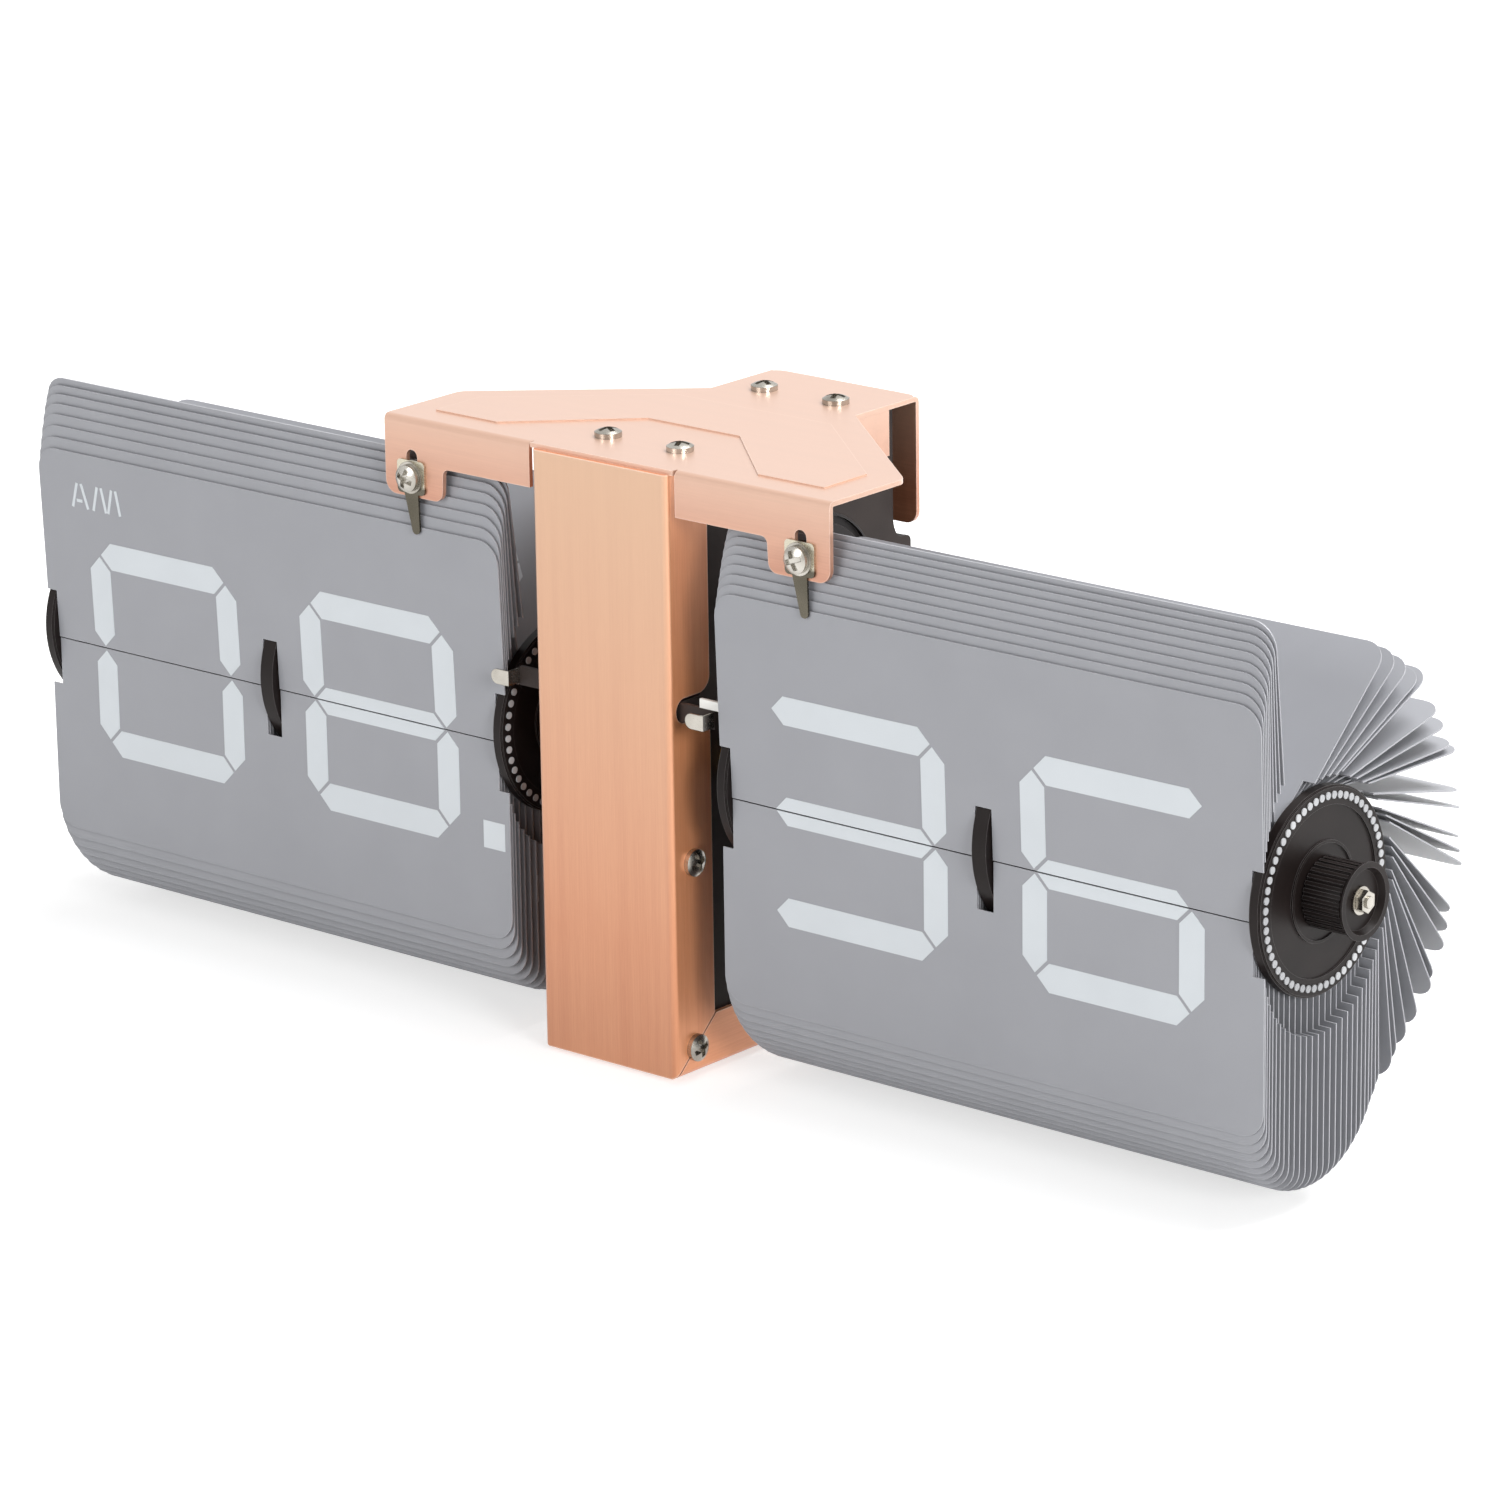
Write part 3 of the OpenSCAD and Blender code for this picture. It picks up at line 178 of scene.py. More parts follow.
@dataclass(frozen=True)
class BrushedGrain:
    """The brushed grain: two stretched noises for the scratches and a wide one for slow streaks."""

    hair_detail: float = 2.0
    hair_roughness: float = 0.6
    band_scale: float = 0.17
    band_detail: float = 3.0
    slow_scale: float = 0.02
    slow_detail: float = 1.0
    hair_share: float = 0.55
    slow_share: float = 0.3
    contrast: tuple[float, float] = (0.35, 0.65)

    def build(self) -> None:
        """Builds the group, which gives Streak and Height from 0 to 1."""
        takes = {"Vector": "Vector", "Fineness": "Float"}
        tree, given = new_group("brushed_grain", takes, ("Streak", "Height"))
        vector, fine = given["Vector"], given["Fineness"]
        hair = tree.noise(vector, fine, self.hair_detail, self.hair_roughness)
        band = tree.noise(vector, tree.times(fine, self.band_scale), self.band_detail)
        slow = tree.noise(vector, tree.times(fine, self.slow_scale), self.slow_detail)
        both = tree.maths("MULTIPLY_ADD", hair, self.hair_share, tree.times(band, 1 - self.hair_share))
        streak = tree.maths("MULTIPLY_ADD", slow, self.slow_share, tree.times(both, 1 - self.slow_share))
        tree.add("NodeGroupOutput", {"Streak": tree.stretch(streak, *self.contrast), "Height": both})


@dataclass(frozen=True)
class SurfaceMottle:
    """The fine unevenness of moulded, painted and printed surfaces."""

    grain_detail: float = 4.0
    grain_roughness: float = 0.55
    wide_scale: float = 0.03
    wide_detail: float = 2.0
    contrast: tuple[float, float] = (0.3, 0.7)

    def build(self) -> None:
        """Builds the group, which gives Patch, a slow variation, and Height, a fine one, from 0 to 1."""
        takes = {"Vector": "Vector", "Fineness": "Float"}
        tree, given = new_group("surface_mottle", takes, ("Patch", "Height"))
        vector, fine = given["Vector"], given["Fineness"]
        grain = tree.noise(vector, fine, self.grain_detail, self.grain_roughness)
        wide = tree.noise(vector, tree.times(fine, self.wide_scale), self.wide_detail)
        tree.add("NodeGroupOutput", {"Patch": tree.stretch(wide, *self.contrast), "Height": grain})


@dataclass(frozen=True)
class EdgeMask:
    """Folds and edges, found by how far the normal, rounded over a radius, leaves the true one."""

    samples: int = 6
    level: float = 0.99
    sharp: float = 0.8

    def build(self) -> None:
        """Builds the group, which takes Radius and gives Edge from 0 to 1."""
        tree, given = new_group("edge_mask", {"Radius": "Float"}, ("Edge",))
        soft = tree.add("Bevel", {"Radius": given["Radius"]}, samples=self.samples).outputs[0]
        true = tree.add("NewGeometry").outputs["True Normal"]
        tree.add("NodeGroupOutput", {"Edge": tree.stretch(tree.along(soft, true), self.level, self.sharp)})


@dataclass(frozen=True)
class Finish:
    """A finish of the clock.

    The colour runs between dark and light with the slow pattern, and the fine pattern gives roughness and
    bump. A finish with a pale colour goes over to it between the two heights of its span, a painted
    highlight towards the top. With a front below one, only the faces that look forward go paler, and they
    keep that share of the colour's strength, a painted shade on those faces. Folds and edges, out to a
    radius, take their share of the edge colour: a painted highlight where that colour is light, a painted
    shade where it is dark.
    """

    name: str
    dark: Colour
    light: Colour
    rough: tuple[float, float] = (0.45, 0.6)
    metallic: float = 0.0
    specular: float = 0.5
    fineness: float = 2500.0
    relief: float = 0.02 * MM
    coat: float = 0.0
    coat_rough: float = 0.4
    coat_ior: float = 1.6
    # pale, its share and its span: a painted highlight, the colour going paler towards the top of the piece.
    pale: Colour | None = None
    pale_share: float = 0.9
    span: tuple[float, float] = (30 * MM, 165 * MM)
    # front: the share of strength that forward-looking faces keep, a painted shade on those faces.
    front: float = 1.0
    # The edge share, colour and radius paint a highlight on folds and edges where the edge colour is light,
    # and shade where it is dark.
    rub: float = 0.0
    edge: Colour = srgb(255, 236, 220)
    radius: float = 0.6 * MM
    grain: Grain = Grain.NONE

    @property
    def pattern(self) -> tuple[str, str]:
        """The shared group of this finish and the output that tints it."""
        return ("surface_mottle", "Patch") if self.grain is Grain.NONE else ("brushed_grain", "Streak")

    def build(self) -> bpy.types.Material:
        """Makes the material.

        Returns:
            A material that reads Object coordinates and uses one of the shared groups.
        """
        material = bpy.data.materials.new(self.name)
        material.use_nodes = True
        tree = Tree(material.node_tree)
        group, tint = self.pattern
        place = tree.add("TexCoord").outputs["Object"]
        turned = tree.add("Mapping", {"Vector": place, "Scale": self.grain.value}).outputs[0]
        surface = tree.add("Group", {"Vector": turned, "Fineness": self.fineness},
                           node_tree=bpy.data.node_groups[group])
        colour = tree.blend(surface.outputs[tint], self.dark, self.light)
        colour = self.rubbed(tree, self.toned(tree, place, colour))
        rough = tree.span(surface.outputs["Height"], *self.rough)
        bump = tree.add("Bump", {"Height": surface.outputs["Height"], "Distance": self.relief,
                                 "Strength": 1.0}).outputs[0]
        shader = tree.add("BsdfPrincipled", {
            "Base Color": colour, "Roughness": rough, "Metallic": self.metallic, "Normal": bump,
            "Specular IOR Level": self.specular, "Coat Weight": self.coat, "Coat Roughness": self.coat_rough,
            "Coat IOR": self.coat_ior})
        tree.add("OutputMaterial", {"Surface": shader.outputs[0]})
        return material

    def toned(self, tree: Tree, place: Value, colour: Value) -> Value:
        """Paints a highlight that makes the colour paler with the height, and a shade that makes it weaker
        on the faces that look forward.

        Args:
            tree: the material's tree.
            place: the Object coordinates.
            colour: the colour so far.

        Returns:
            The colour after both.
        """
        if not self.pale:
            return colour
        height = tree.add("SeparateXYZ", {0: place}).outputs[2]
        rise = tree.times(tree.stretch(height, *self.span), self.pale_share)
        if self.front == 1.0:
            return tree.blend(rise, colour, self.pale)
        ahead = tree.along(tree.add("NewGeometry").outputs["True Normal"], (0.0, -1.0, 0.0))
        paler = tree.blend(tree.times(rise, tree.span(ahead, 0.0, 1.0)), colour, self.pale)
        share = tree.span(ahead, 1.0, self.front)
        return tree.add("VectorMath", {0: paler, "Scale": share}, operation="SCALE").outputs[0]

    def rubbed(self, tree: Tree, colour: Value) -> Value:
        """Paints the edge colour onto folds and edges: a painted highlight where that colour is light, and a
        painted shade where it is dark.

        Args:
            tree: the material's tree.
            colour: the colour so far.

        Returns:
            The colour with its edges.
        """
        if not self.rub:
            return colour
        mask = tree.add("Group", {"Radius": self.radius}, node_tree=bpy.data.node_groups["edge_mask"])
        return tree.blend(tree.times(mask.outputs["Edge"], self.rub), colour, self.edge)


@dataclass
class FinishSet:
    """All finishes of the clock, by the record's material slots.

    The spans are where the bracket's and the clip's painted highlights come in, as heights from the tops of
    the pieces that have them.
    """

    bracket_span: tuple[float, float] = (-21.45 * MM, 4.55 * MM)
    clip_span: tuple[float, float] = (-6.15 * MM, -5.25 * MM)
    made: dict[str, bpy.types.Material] = field(default_factory=dict)

    def from_top(self, node: str, span: tuple[float, float]) -> tuple[float, float]:
        """Turns heights counted from a node's top into heights over the floor."""
        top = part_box(node)[1].z
        return span[0] + top, span[1] + top

    def finishes(self) -> dict[str, Finish]:
        """The finish of each slot, and those of pieces that differ from their slot.

        Returns:
            The finishes by slot or node. The minute clip's serves both clips.
        """
        copper = dict(metallic=0.5, rough=(0.3, 0.4), relief=0.001 * MM, fineness=16000.0, coat=1.0)
        # The column's copper: a painted highlight that goes paler towards the top, a painted shade that
        # keeps front faces at 0.64 of the colour, and a painted highlight on its folds.
        column = dict(dark=srgb(222, 139, 90), light=srgb(242, 165, 115), pale=srgb(246, 208, 172),
                      front=0.64, rub=0.5, **copper)
        steel = dict(dark=srgb(150, 145, 136), light=srgb(190, 186, 178), metallic=1.0, rough=(0.2, 0.32),
                     relief=0.001 * MM)
        # A light colour for moulding rims: a painted highlight along their edges.
        rim_highlight = dict(edge=srgb(150, 146, 146), radius=0.2 * MM)
        return {
            "brushed_copper": Finish("copper_upright", grain=Grain.UPRIGHT, **column),
            # The bracket's copper is a darker copy of the column's, a painted shade against the strong top
            # lamp; it gets a painted highlight towards its top and on its folds.
            "top_bracket": Finish("copper_lengthwise", srgb(168, 104, 74), srgb(192, 128, 96),
                                  pale=srgb(210, 176, 154), rub=0.35,
                                  span=self.from_top("top_bracket", self.bracket_span),
                                  radius=0.4 * MM, grain=Grain.LENGTHWISE, **copper),
            # The tray shares the column's painted highlight towards the top, painted front shade and painted
            # fold highlight.
            "base_tray": Finish("copper_deep", grain=Grain.DEEP, **column),
            "black_chassis": Finish("black_powder", srgb(44, 37, 35), srgb(54, 46, 43), (0.4, 0.55),
                                    specular=0.16, relief=0.006 * MM),
            # Dark steel edges: painted shade round the rims of heads, washers and recesses.
            "bright_steel": Finish("nickel_steel", fineness=4000.0, rub=0.85, edge=srgb(62, 56, 50),
                                   radius=0.22 * MM, **steel),
            # The clip's steel goes paler in its top part: a painted highlight.
            "minute_clip": Finish("spring_steel", srgb(76, 72, 62), srgb(104, 99, 88), (0.2, 0.34), 1.0,
                                  pale=srgb(196, 190, 172),
                                  span=self.from_top("minute_clip", self.clip_span)),
            "motor_case": Finish("zinc_steel", srgb(150, 150, 146), srgb(186, 186, 180), (0.3, 0.5), 1.0),
            # Both mouldings carry the painted rim highlight.
            "black_moulding": Finish("black_moulding", srgb(18, 14, 14), srgb(27, 22, 22), (0.4, 0.6),
                                     rub=0.35, specular=0.25, **rim_highlight),
            "drum_plastic": Finish("drum_moulding", srgb(22, 17, 16), srgb(31, 25, 24), (0.3, 0.44),
                                   rub=0.3, specular=0.14, relief=0.004 * MM, **rim_highlight),
            "gear_brass": Finish("turned_brass", srgb(170, 138, 78), srgb(206, 174, 108), (0.25, 0.4), 1.0),
            # Light leaf edges: a painted highlight along the edges of every leaf.
            "leaf_grey": Finish("leaf_sheet", srgb(146, 147, 152), srgb(149, 150, 155), (0.36, 0.46),
                                rub=0.5, edge=srgb(232, 232, 236), radius=0.15 * MM, relief=0.002 * MM,
                                fineness=1800.0),
            "numeral_ink": Finish("numeral_print", srgb(201, 206, 210), srgb(204, 209, 213), (0.4, 0.5),
                                  specular=0.4, relief=0.002 * MM),
            "pin_plastic": Finish("pin_ends", srgb(150, 151, 154), srgb(192, 193, 195), (0.3, 0.42),
                                  fineness=1400.0),
            "pad_rubber": Finish("pad_rubber", srgb(30, 30, 30), srgb(42, 42, 42), (0.7, 0.85)),
            "cell_jacket": Finish("cell_jacket", srgb(150, 122, 60), srgb(176, 148, 84), (0.25, 0.4), 0.8),
            "board_green": Finish("board_lacquer", srgb(28, 92, 54), srgb(44, 116, 70), (0.2, 0.35)),
            "lever_white": Finish("lever_moulding", srgb(226, 226, 222), srgb(242, 242, 238), (0.35, 0.5)),
        }

    def build(self) -> None:
        """Makes the shared groups and every material."""
        for group in (BrushedGrain(), SurfaceMottle(), EdgeMask()):
            group.build()
        self.made = {key: finish.build() for key, finish in self.finishes().items()}
        log.info("finishes: %d materials", len(self.made))

    def dress_nodes(self) -> None:
        """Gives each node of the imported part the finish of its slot, or its own."""
        for part in frame["record"]["subparts"]:
            node = frame["nodes"][part["node"]]
            own = part["node"].replace(Side.HOUR.word, Side.MINUTE.word)
            node.data.materials.clear()
            node.data.materials.append(self.made.get(own, self.made[part["material_slot"]]))
        log.info("dressed: %d nodes", len(frame["nodes"]))


def mesh_piece(name: str, points: np.ndarray, faces: list, body: str,
               material: bpy.types.Material) -> None:
    """Makes a piece of the clock from points and faces.

    Args:
        name: the piece's name.
        points: one row of X, Y and Z for each vertex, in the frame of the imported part.
        faces: the vertex numbers of each face, seen anticlockwise from outside.
        body: the body that it moves with.
        material: its finish.
    """
    mesh = bpy.data.meshes.new(name)
    mesh.from_pydata(points.tolist(), [], faces)
    mesh.materials.append(material)
    mesh.update()
    piece = bpy.data.objects.new(name, mesh)
    bpy.context.scene.collection.objects.link(piece)
    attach(piece, body)
    log.info("piece %s: %d vertices", name, len(points))


def solids(node: str) -> list[np.ndarray]:
    """Splits a node into its separate solids.

    Vertices at one place count as one, and each triangle hands its lowest label to its corners until nothing
    changes.

    Args:
        node: the node's name.

    Returns:
        The vertex positions of each solid.
    """
    mesh = frame["nodes"][node].data
    flat = np.empty(len(mesh.vertices) * 3)
    mesh.vertices.foreach_get("co", flat)
    places = flat.reshape(-1, 3)
    corners = np.empty(len(mesh.loops), int)
    mesh.loops.foreach_get("vertex_index", corners)
    _, same = np.unique(places.round(SAME_PLACE_DIGITS), axis=0, return_inverse=True)
    same = same.reshape(-1)
    triangles = same[corners].reshape(-1, 3)
    label = np.arange(same.max() + 1)
    while True:
        lower = label.copy()
        np.minimum.at(lower, triangles, label[triangles].min(axis=1, keepdims=True))
        lower = lower[lower]
        if (lower == label).all():
            break
        label = lower
    return [places[label[same] == k] for k in np.unique(label)]


@dataclass(frozen=True)
class Numerals:
    """The numerals' sizes and strokes, centred on the seam."""

    width: float = 46.5 * MM
    height: float = 51.3 * MM
    stroke: float = 6.35 * MM
    gap: float = 0.55 * MM
    free_end: float = 3.6 * MM
    seam_gap: float = 0.4 * MM
    letter_height: float = 5.8 * MM
    letter_stroke: float = 0.75 * MM
    letter_rise: float = 32.8 * MM
    letter_inset: float = 10.5 * MM
    point_width: float = 6.3 * MM
    point_inset: float = 4.7 * MM
    point_drop: float = 21.9 * MM

    def strokes_of(self, digit: int) -> str:
        """The strokes of a digit: t top, m middle, b bottom, uprights a and c above, d and e below."""
        return "tacdeb ce tcmdb tcmeb acme tameb tamdeb tce tacmdeb tacmeb".split()[digit]

    def bar(self, length: float, left: float, right: float) -> np.ndarray:
        """A lying stroke with pointed ends, drawn out by left and right."""
        h, x0, x1 = self.stroke / 2, -length / 2 - left, length / 2 + right
        return np.array([[x0, 0], [x0 + h, -h], [x1 - h, -h], [x1, 0], [x1 - h, h], [x0 + h, h]])

    def digit(self, digit: int, centre: float) -> list[np.ndarray]:
        """The outlines of one digit.

        A lying stroke's end is drawn out where no upright stroke meets it.

        Args:
            digit: from 0 to 9.
            centre: the place of its middle along X.

        Returns:
            One outline for each stroke.
        """
        on = self.strokes_of(digit)
        across = self.width - self.stroke - 2 * self.gap
        upright = self.height / 2 - self.stroke / 2 - 2 * self.gap
        x, z = (self.width - self.stroke) / 2, (self.height - self.stroke) / 2
        out = []
        for name, height, left, right in (("t", z, "a", "c"), ("m", 0.0, "ad", "ce"), ("b", -z, "d", "e")):
            if name in on:
                ends = [0.0 if set(side) & set(on) else self.free_end for side in (left, right)]
                out.append(self.bar(across, *ends) + [centre, height])
        for name, side, level in (("a", -1, 1), ("c", 1, 1), ("d", -1, -1), ("e", 1, -1)):
            if name in on:
                turned = self.bar(upright, 0.0, 0.0)[:, ::-1] * [-1, 1]
                out.append(turned + [centre + side * x, level * z / 2])
        return out

    def letters(self, word: str, left: float) -> list[np.ndarray]:
        """The thin strokes of AM or PM.

        Each stroke's two ends are shares of the letters' height, from their lower left corner.

        Args:
            word: AM or PM.
            left: the place of the letters' left edge along X.

        Returns:
            One outline for each stroke.
        """
        first = {"A": ((0, 0, 0.3, 1), (0.85, 0, 0.52, 1), (0.24, 0.29, 0.55, 0.29)),
                 "P": ((0.1, 0, 0.3, 1), (0.38, 1, 0.78, 1), (0.78, 0.9, 0.7, 0.5),
                       (0.28, 0.45, 0.68, 0.45))}
        last = ((1.15, 0, 1.42, 1), (1.64, 1, 1.85, 0), (1.97, 0, 2.22, 1), (2.44, 1, 2.63, 0))
        out = []
        for share in first[word[0]] + last:
            a, b = np.array(share[:2]), np.array(share[2:])
            along = (b - a) / np.linalg.norm(b - a)
            aside = np.array([along[1], -along[0]]) * self.letter_stroke / 2
            a, b = (np.array([left, self.letter_rise]) + self.letter_height * end for end in (a, b))
            out.append(np.array([a + aside, b + aside, b - aside, a - aside]))
        return out

    def point(self, centre: float) -> np.ndarray:
        """The square point after the hours."""
        h = self.point_width / 2
        return np.array([[-h, -h], [h, -h], [h, h], [-h, h]]) + [centre, -self.point_drop]

    def half(self, outlines: list[np.ndarray], level: int) -> list[np.ndarray]:
        """Keeps the part of each outline on one side of the seam gap.

        Args:
            outlines: outlines as X and height, which is 0 at the seam.
            level: 1 for what is above the seam, -1 for what is below.

        Returns:
            The outlines that are left, as X and distance from the seam.
        """
        kept = []
        for outline in outlines:
            rise = outline[:, 1] * level
            if rise.max() <= self.seam_gap:
                continue
            if rise.min() < self.seam_gap / 2:
                outline = self.cut(outline, rise, self.seam_gap / 2)
                rise = outline[:, 1] * level
            kept.append(np.column_stack([outline[:, 0], rise]))
        return kept

    @staticmethod
    def cut(outline: np.ndarray, rise: np.ndarray, limit: float) -> np.ndarray:
        """Cuts an outline at a height.

        What lies under the limit goes, and each edge that crosses it gets a point there: the edge's start
        plus the share of the edge that leads up to the limit.

        Args:
            outline: the outline's points.
            rise: the height of each point.
            limit: the height of the cut.

        Returns:
            The outline that is left.
        """
        following, next_rise = np.roll(outline, -1, axis=0), np.roll(rise, -1)
        crosses = (rise - limit) * (next_rise - limit) < 0
        share = (limit - rise) / np.where(crosses, next_rise - rise, 1.0)
        crossings = outline + share[:, None] * (following - outline)
        wanted = np.stack([rise >= limit, crosses], axis=1)
        return np.stack([outline, crossings], axis=1)[wanted]


@dataclass
class Slabs:
    """Thin slabs that are gathered into one piece."""

    points: list[np.ndarray] = field(default_factory=list)
    faces: list[list[int]] = field(default_factory=list)
    count: int = 0

    def add(self, low: np.ndarray, high: np.ndarray) -> None:
        """Adds a slab between two rings of points.

        Args:
            low: the ring on the leaf.
            high: the ring over it, seen anticlockwise from outside.
        """
        n = len(low)
        below = np.arange(n) + self.count
        above = below + n
        walls = np.column_stack([below, np.roll(below, -1), np.roll(above, -1), above])
        self.points += [low, high]
        self.faces += [above.tolist(), below[::-1].tolist()] + walls.tolist()
        self.count += 2 * n


@dataclass
class LeafPlace:
    """Where one leaf lies, seen along X: root edge, middle, direction to the tip, and way the face looks."""

    root: np.ndarray
    middle: np.ndarray
    along: np.ndarray
    face: np.ndarray
    thickness: float

    @classmethod
    def of(cls, points: np.ndarray, axle: np.ndarray) -> "LeafPlace":
        """Reads a leaf's place from its vertices.

        Seen along X they lie on two straight lines, so their main axis is the leaf's own direction.

        Args:
            points: the leaf's vertices.
            axle: the drum's axle as Y and Z.

        Returns:
            The leaf's place.
        """
        flat = points[:, 1:]
        centred = flat - flat.mean(0)
        _, _, axes = np.linalg.svd(centred, full_matrices=False)
        along = axes[0]
        reach = centred @ along
        ends = [flat.mean(0) + along * reach.min(), flat.mean(0) + along * reach.max()]
        if np.linalg.norm(ends[0] - axle) > np.linalg.norm(ends[1] - axle):
            along, ends = -along, ends[::-1]
        middle = (ends[0] + ends[1]) / 2
        return cls(ends[0], middle, along, np.array([-along[1], along[0]]), np.ptp(centred @ axes[1]))

    def turn(self, axle: np.ndarray) -> float:
        """The direction from the axle to the leaf's middle, as an angle from +Y towards +Z."""
        y, z = self.middle - axle
        return math.atan2(z, y)


@dataclass
class LeafSet:
    """The leaves of one side: reads their places and prints their numerals.

    Turns are counted from first_turn, a direction between the showing leaves and the ones that have fallen.
    """

    side: Side
    count: int
    shown: int
    numerals: Numerals = Numerals()
    near_offset: float = 33.15 * MM
    far_offset: float = 33.05 * MM
    ink: float = 0.015 * MM
    first_turn: float = math.radians(190)
    half_day: int = 12

    def node(self, part: str) -> str:
        """The name of one of this side's nodes."""
        return f"{self.side.word}_{part}"

    def label(self, fallen: int) -> list[np.ndarray]:
        """The outlines that show once some leaves have fallen: one leaf a minute, or two an hour.

        Args:
            fallen: how many leaves have fallen since the shown number.

        Returns:
            The outlines of digits, point and letters, as X and height from the seam.
        """
        low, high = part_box(self.node("front_leaf"))
        middle, sign = (low.x + high.x) / 2, self.side.value
        near, far = middle - sign * self.near_offset, middle + sign * self.far_offset
        if self.side is Side.MINUTE:
            tens, ones = divmod((self.shown + fallen) % self.count, 10)
            return self.numerals.digit(tens, near) + self.numerals.digit(ones, far)
        hour = (self.shown + (fallen + 1) // 2) % (2 * self.half_day)
        tens, ones = divmod((hour - 1) % self.half_day + 1, 10)
        word = "AM" if hour < self.half_day else "PM"
        return (self.numerals.digit(tens, far) + self.numerals.digit(ones, near)
                + self.numerals.letters(word, low.x + self.numerals.letter_inset)
                + [self.numerals.point(high.x - self.numerals.point_inset)])

    def stand(self, slabs: Slabs, outlines: list[np.ndarray], place: LeafPlace, face: int) -> None:
        """Stands printed outlines on a leaf's face as thin slabs.

        An outline's signed area tells which way round it runs, and it is turned where it would face inwards.

        Args:
            slabs: what the slabs are added to.
            outlines: outlines as X and distance from the seam.
            place: the leaf's place.
            face: 1 for the face that shows while the leaf stands, -1 for the other.
        """
        start = place.root - place.along * self.numerals.seam_gap / 2
        foot, top = place.thickness / 2, place.thickness / 2 + self.ink
        for outline in outlines:
            x, z = outline.T
            area = np.sum(x * np.roll(z, -1) - np.roll(x, -1) * z)
            ring = outline if (area > 0) == (face > 0) else outline[::-1]
            flat, out = start + ring[:, 1:] * place.along, place.face * face
            slabs.add(*(np.column_stack([ring[:, 0], flat + out * lift]) for lift in (foot, top)))

    def print_leaf(self, slabs: Slabs, index: int, place: LeafPlace) -> None:
        """Prints one leaf: the upper half of its own number in front, the lower half of the next one behind.

        The first leaf's front and the last leaf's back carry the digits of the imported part.

        Args:
            slabs: what the slabs are added to.
            index: the leaf's place in the order.
            place: where it lies.
        """
        for wanted, level, number in ((index > 0, 1, index), (index < self.count - 1, -1, index + 1)):
            if wanted:
                self.stand(slabs, self.numerals.half(self.label(number), level), place, level)

    def build(self, finishes: FinishSet) -> None:
        """Prints the leaves of each group, in the order of their middles round the axle.

        Args:
            finishes: the finishes, already built.
        """
        low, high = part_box(self.node("outer_disc"))
        axle = np.array([(low.y + high.y) / 2, (low.z + high.z) / 2])
        index = 0
        for part in ("front_leaf", "upper_leaves", "rear_leaves", "hanging_leaves"):
            places = [LeafPlace.of(points, axle) for points in solids(self.node(part))]
            places.sort(key=lambda place: (place.turn(axle) - self.first_turn) % math.tau, reverse=True)
            slabs = Slabs()
            for place in places:
                self.print_leaf(slabs, index, place)
                index += 1
            body = self.node("showing_leaf") if part == "front_leaf" else "clock_frame"
            name = self.node(part.replace("leaves", "prints").replace("leaf", "print"))
            mesh_piece(name, np.vstack(slabs.points), slabs.faces, body,
                       finishes.made["numeral_ink"])


@dataclass(frozen=True)
class Lamp:
    """A square soft lamp."""

    name: str
    place: tuple[float, float, float]
    power: float
    size: float = 1.6
    aim: tuple[float, float, float] = (0.05, 0.0, 0.06)

    def build(self) -> None:
        """Hangs the lamp at its place and turns it to what it lights."""
        data = bpy.data.lights.new(self.name, "AREA")
        data.energy, data.size = self.power, self.size
        lamp = bpy.data.objects.new(self.name, data)
        lamp.location = self.place
        lamp.rotation_mode = "QUATERNION"
        lamp.rotation_quaternion = (Vector(self.aim) - Vector(self.place)).to_track_quat("-Z", "Y")
        bpy.context.scene.collection.objects.link(lamp)


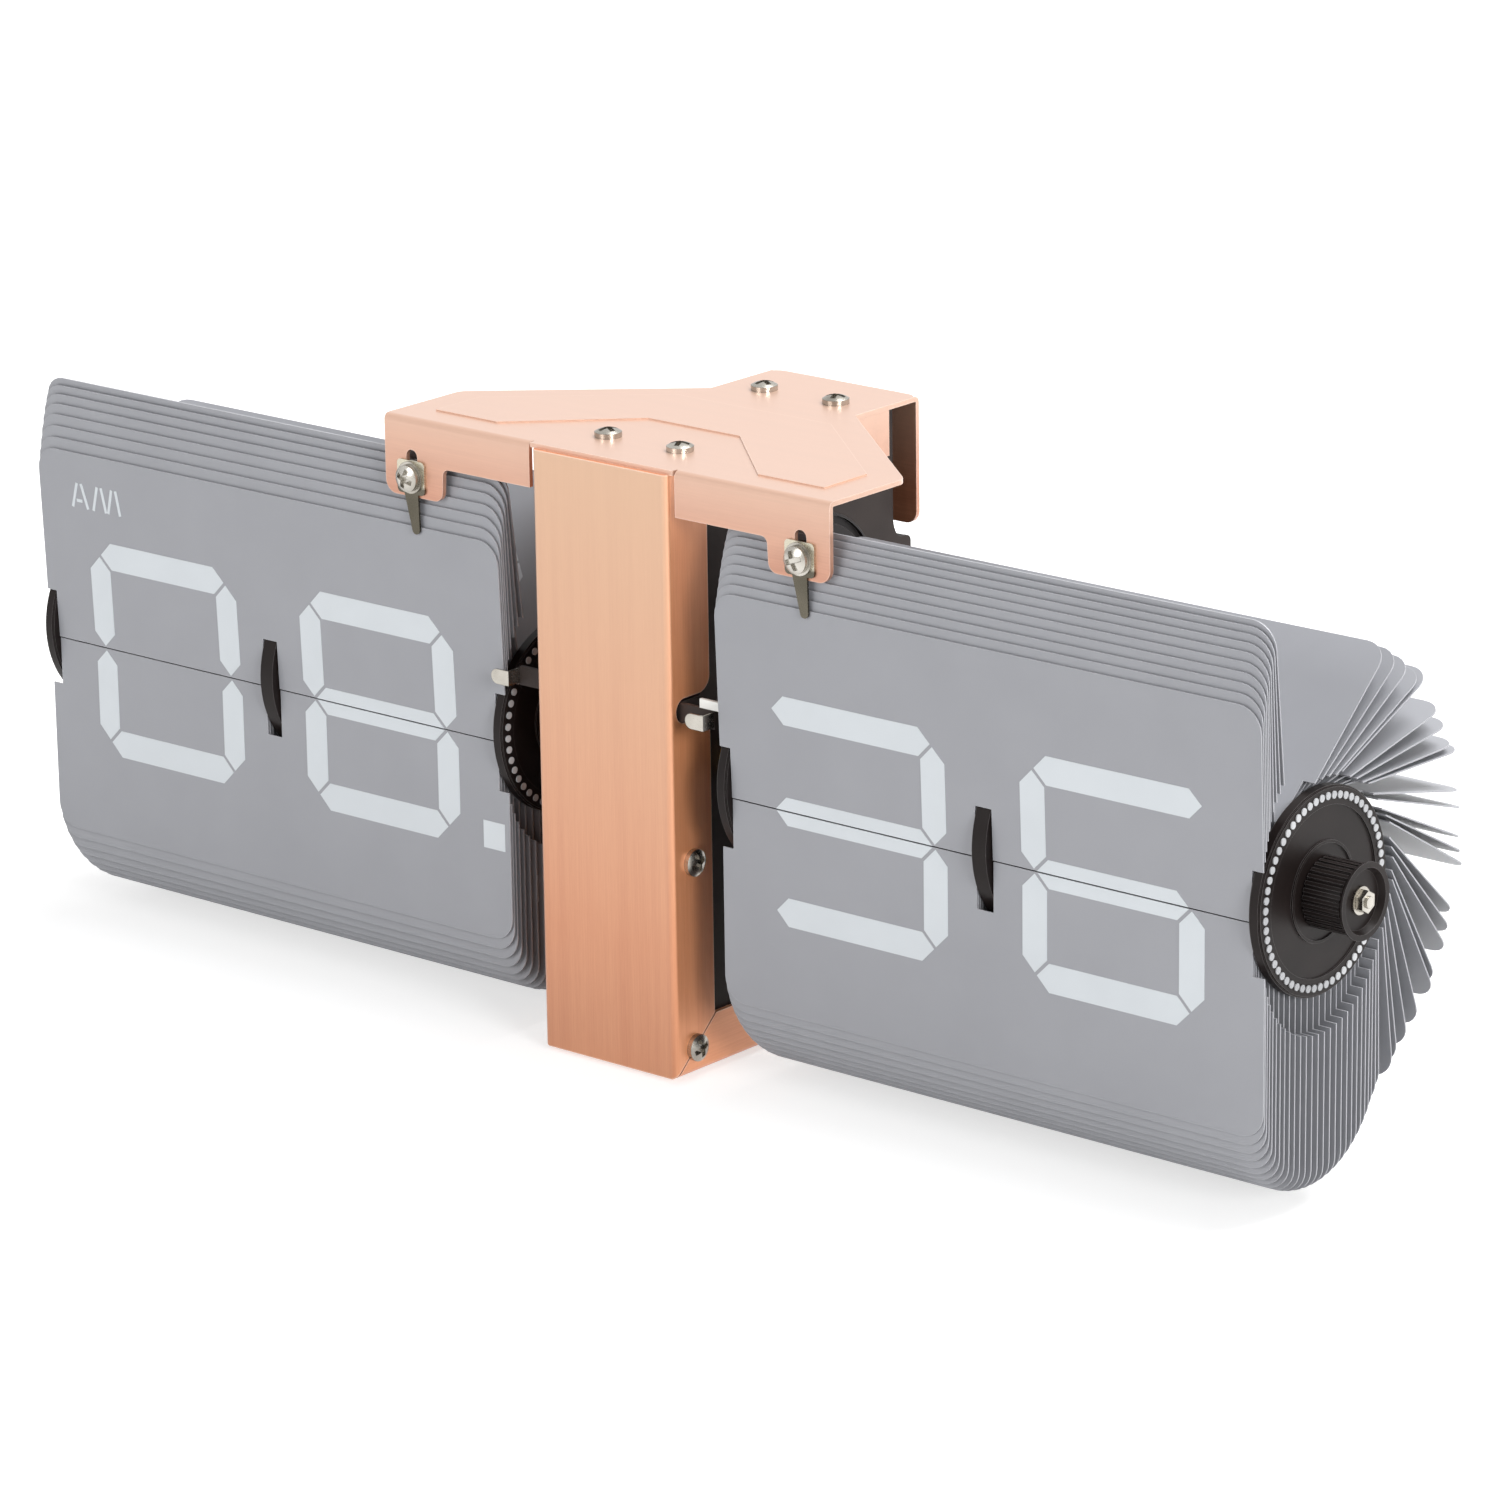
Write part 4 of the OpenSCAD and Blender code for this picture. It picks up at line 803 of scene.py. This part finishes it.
@dataclass
class Studio:
    """The floor, the lamps, the world and the camera.

    The camera's angles are in degrees, its lens and sensor in millimetres, as in the camera's own settings.
    """

    floor_size: float = 6.0
    floor_grey: Colour = (0.6, 0.6, 0.6, 1.0)
    floor_glow: float = 0.62
    sky: float = 0.32
    bright_sky: float = 1.0
    lamps: tuple[Lamp, ...] = (Lamp("key", (-0.6, -3.2, 1.3), 44.0, aim=(0.0, 0.0, 0.06)),
                               Lamp("side", (4.4, -1.6, 1.6), 140.0),
                               Lamp("back", (0.7, 0.9, 2.2), 90.0))
    azimuth: float = 40.50
    elevation: float = 16.99
    roll: float = -0.84
    distance: float = 1.4337
    target: tuple[float, float, float] = (0.03876, -0.03845, 0.07871)
    lens: float = 162.78
    sensor: float = 36.0
    clip: tuple[float, float] = (0.05, 50.0)

    def floor(self) -> None:
        """A plain pale floor that the camera sees as white, apart from the clock's shadow."""
        half = self.floor_size / 2
        mesh = bpy.data.meshes.new("floor")
        corners = [(-half, -half, 0), (half, -half, 0), (half, half, 0), (-half, half, 0)]
        mesh.from_pydata(corners, [], [(0, 1, 2, 3)])
        floor = bpy.data.objects.new("floor", mesh)
        bpy.context.scene.collection.objects.link(floor)
        material = bpy.data.materials.new("pale_floor")
        material.use_nodes = True
        tree = Tree(material.node_tree)
        seen = tree.add("LightPath")
        lit = tree.add("BsdfDiffuse", {"Color": self.floor_grey})
        bright = tree.maths("MAXIMUM", seen.outputs["Is Camera Ray"], seen.outputs["Is Glossy Ray"])
        glow = tree.add("Emission", {"Color": WHITE, "Strength": tree.times(bright, self.floor_glow)})
        both = tree.add("AddShader", {0: lit.outputs[0], 1: glow.outputs[0]})
        tree.add("OutputMaterial", {"Surface": both.outputs[0]})
        mesh.materials.append(material)

    def world(self) -> None:
        """A soft even sky that the camera and bright metal see as white."""
        world = bpy.data.worlds.new("studio")
        bpy.context.scene.world = world
        world.use_nodes = True
        tree = Tree(world.node_tree)
        seen = tree.add("LightPath")
        mirrored = tree.maths("MAXIMUM", seen.outputs["Is Glossy Ray"], seen.outputs["Is Transmission Ray"])
        bright = tree.maths("MAXIMUM", seen.outputs["Is Camera Ray"], mirrored)
        strength = tree.span(bright, self.sky, self.bright_sky)
        sky = tree.add("Background", {"Color": WHITE, "Strength": strength})
        tree.add("OutputWorld", {"Surface": sky.outputs[0]})

    def camera(self) -> None:
        """The camera at the photograph's viewing angle."""
        a, e, r = (math.radians(v) for v in (self.azimuth, self.elevation, self.roll))
        back = Vector((math.sin(a) * math.cos(e), -math.cos(a) * math.cos(e), math.sin(e)))
        right = Vector((math.cos(a), math.sin(a), 0.0))
        up = back.cross(right)
        right, up = right * math.cos(r) + up * math.sin(r), up * math.cos(r) - right * math.sin(r)
        data = bpy.data.cameras.new("camera")
        data.lens, data.sensor_width = self.lens, self.sensor
        data.clip_start, data.clip_end = self.clip
        camera = bpy.data.objects.new("camera", data)
        place = Vector(self.target) + back * self.distance
        camera.matrix_world = Matrix.Translation(place) @ Matrix((right, up, back)).transposed().to_4x4()
        bpy.context.scene.collection.objects.link(camera)
        bpy.context.scene.camera = camera

    def build(self) -> None:
        """Sets up everything round the clock."""
        self.floor()
        self.world()
        for lamp in self.lamps:
            lamp.build()
        self.camera()
        bpy.context.scene.view_settings.view_transform = "Standard"
        log.info("studio: floor, world, camera and %d lamps", len(self.lamps))


def main() -> None:
    """Builds the clock's looks in order."""
    logging.basicConfig(level=logging.INFO, format="%(name)s %(message)s")
    finishes = FinishSet()
    finishes.build()
    finishes.dress_nodes()
    for leaves in (LeafSet(Side.MINUTE, count=60, shown=36), LeafSet(Side.HOUR, count=48, shown=8)):
        leaves.build(finishes)
    Studio().build()


if __name__ == "__main__":
    main()
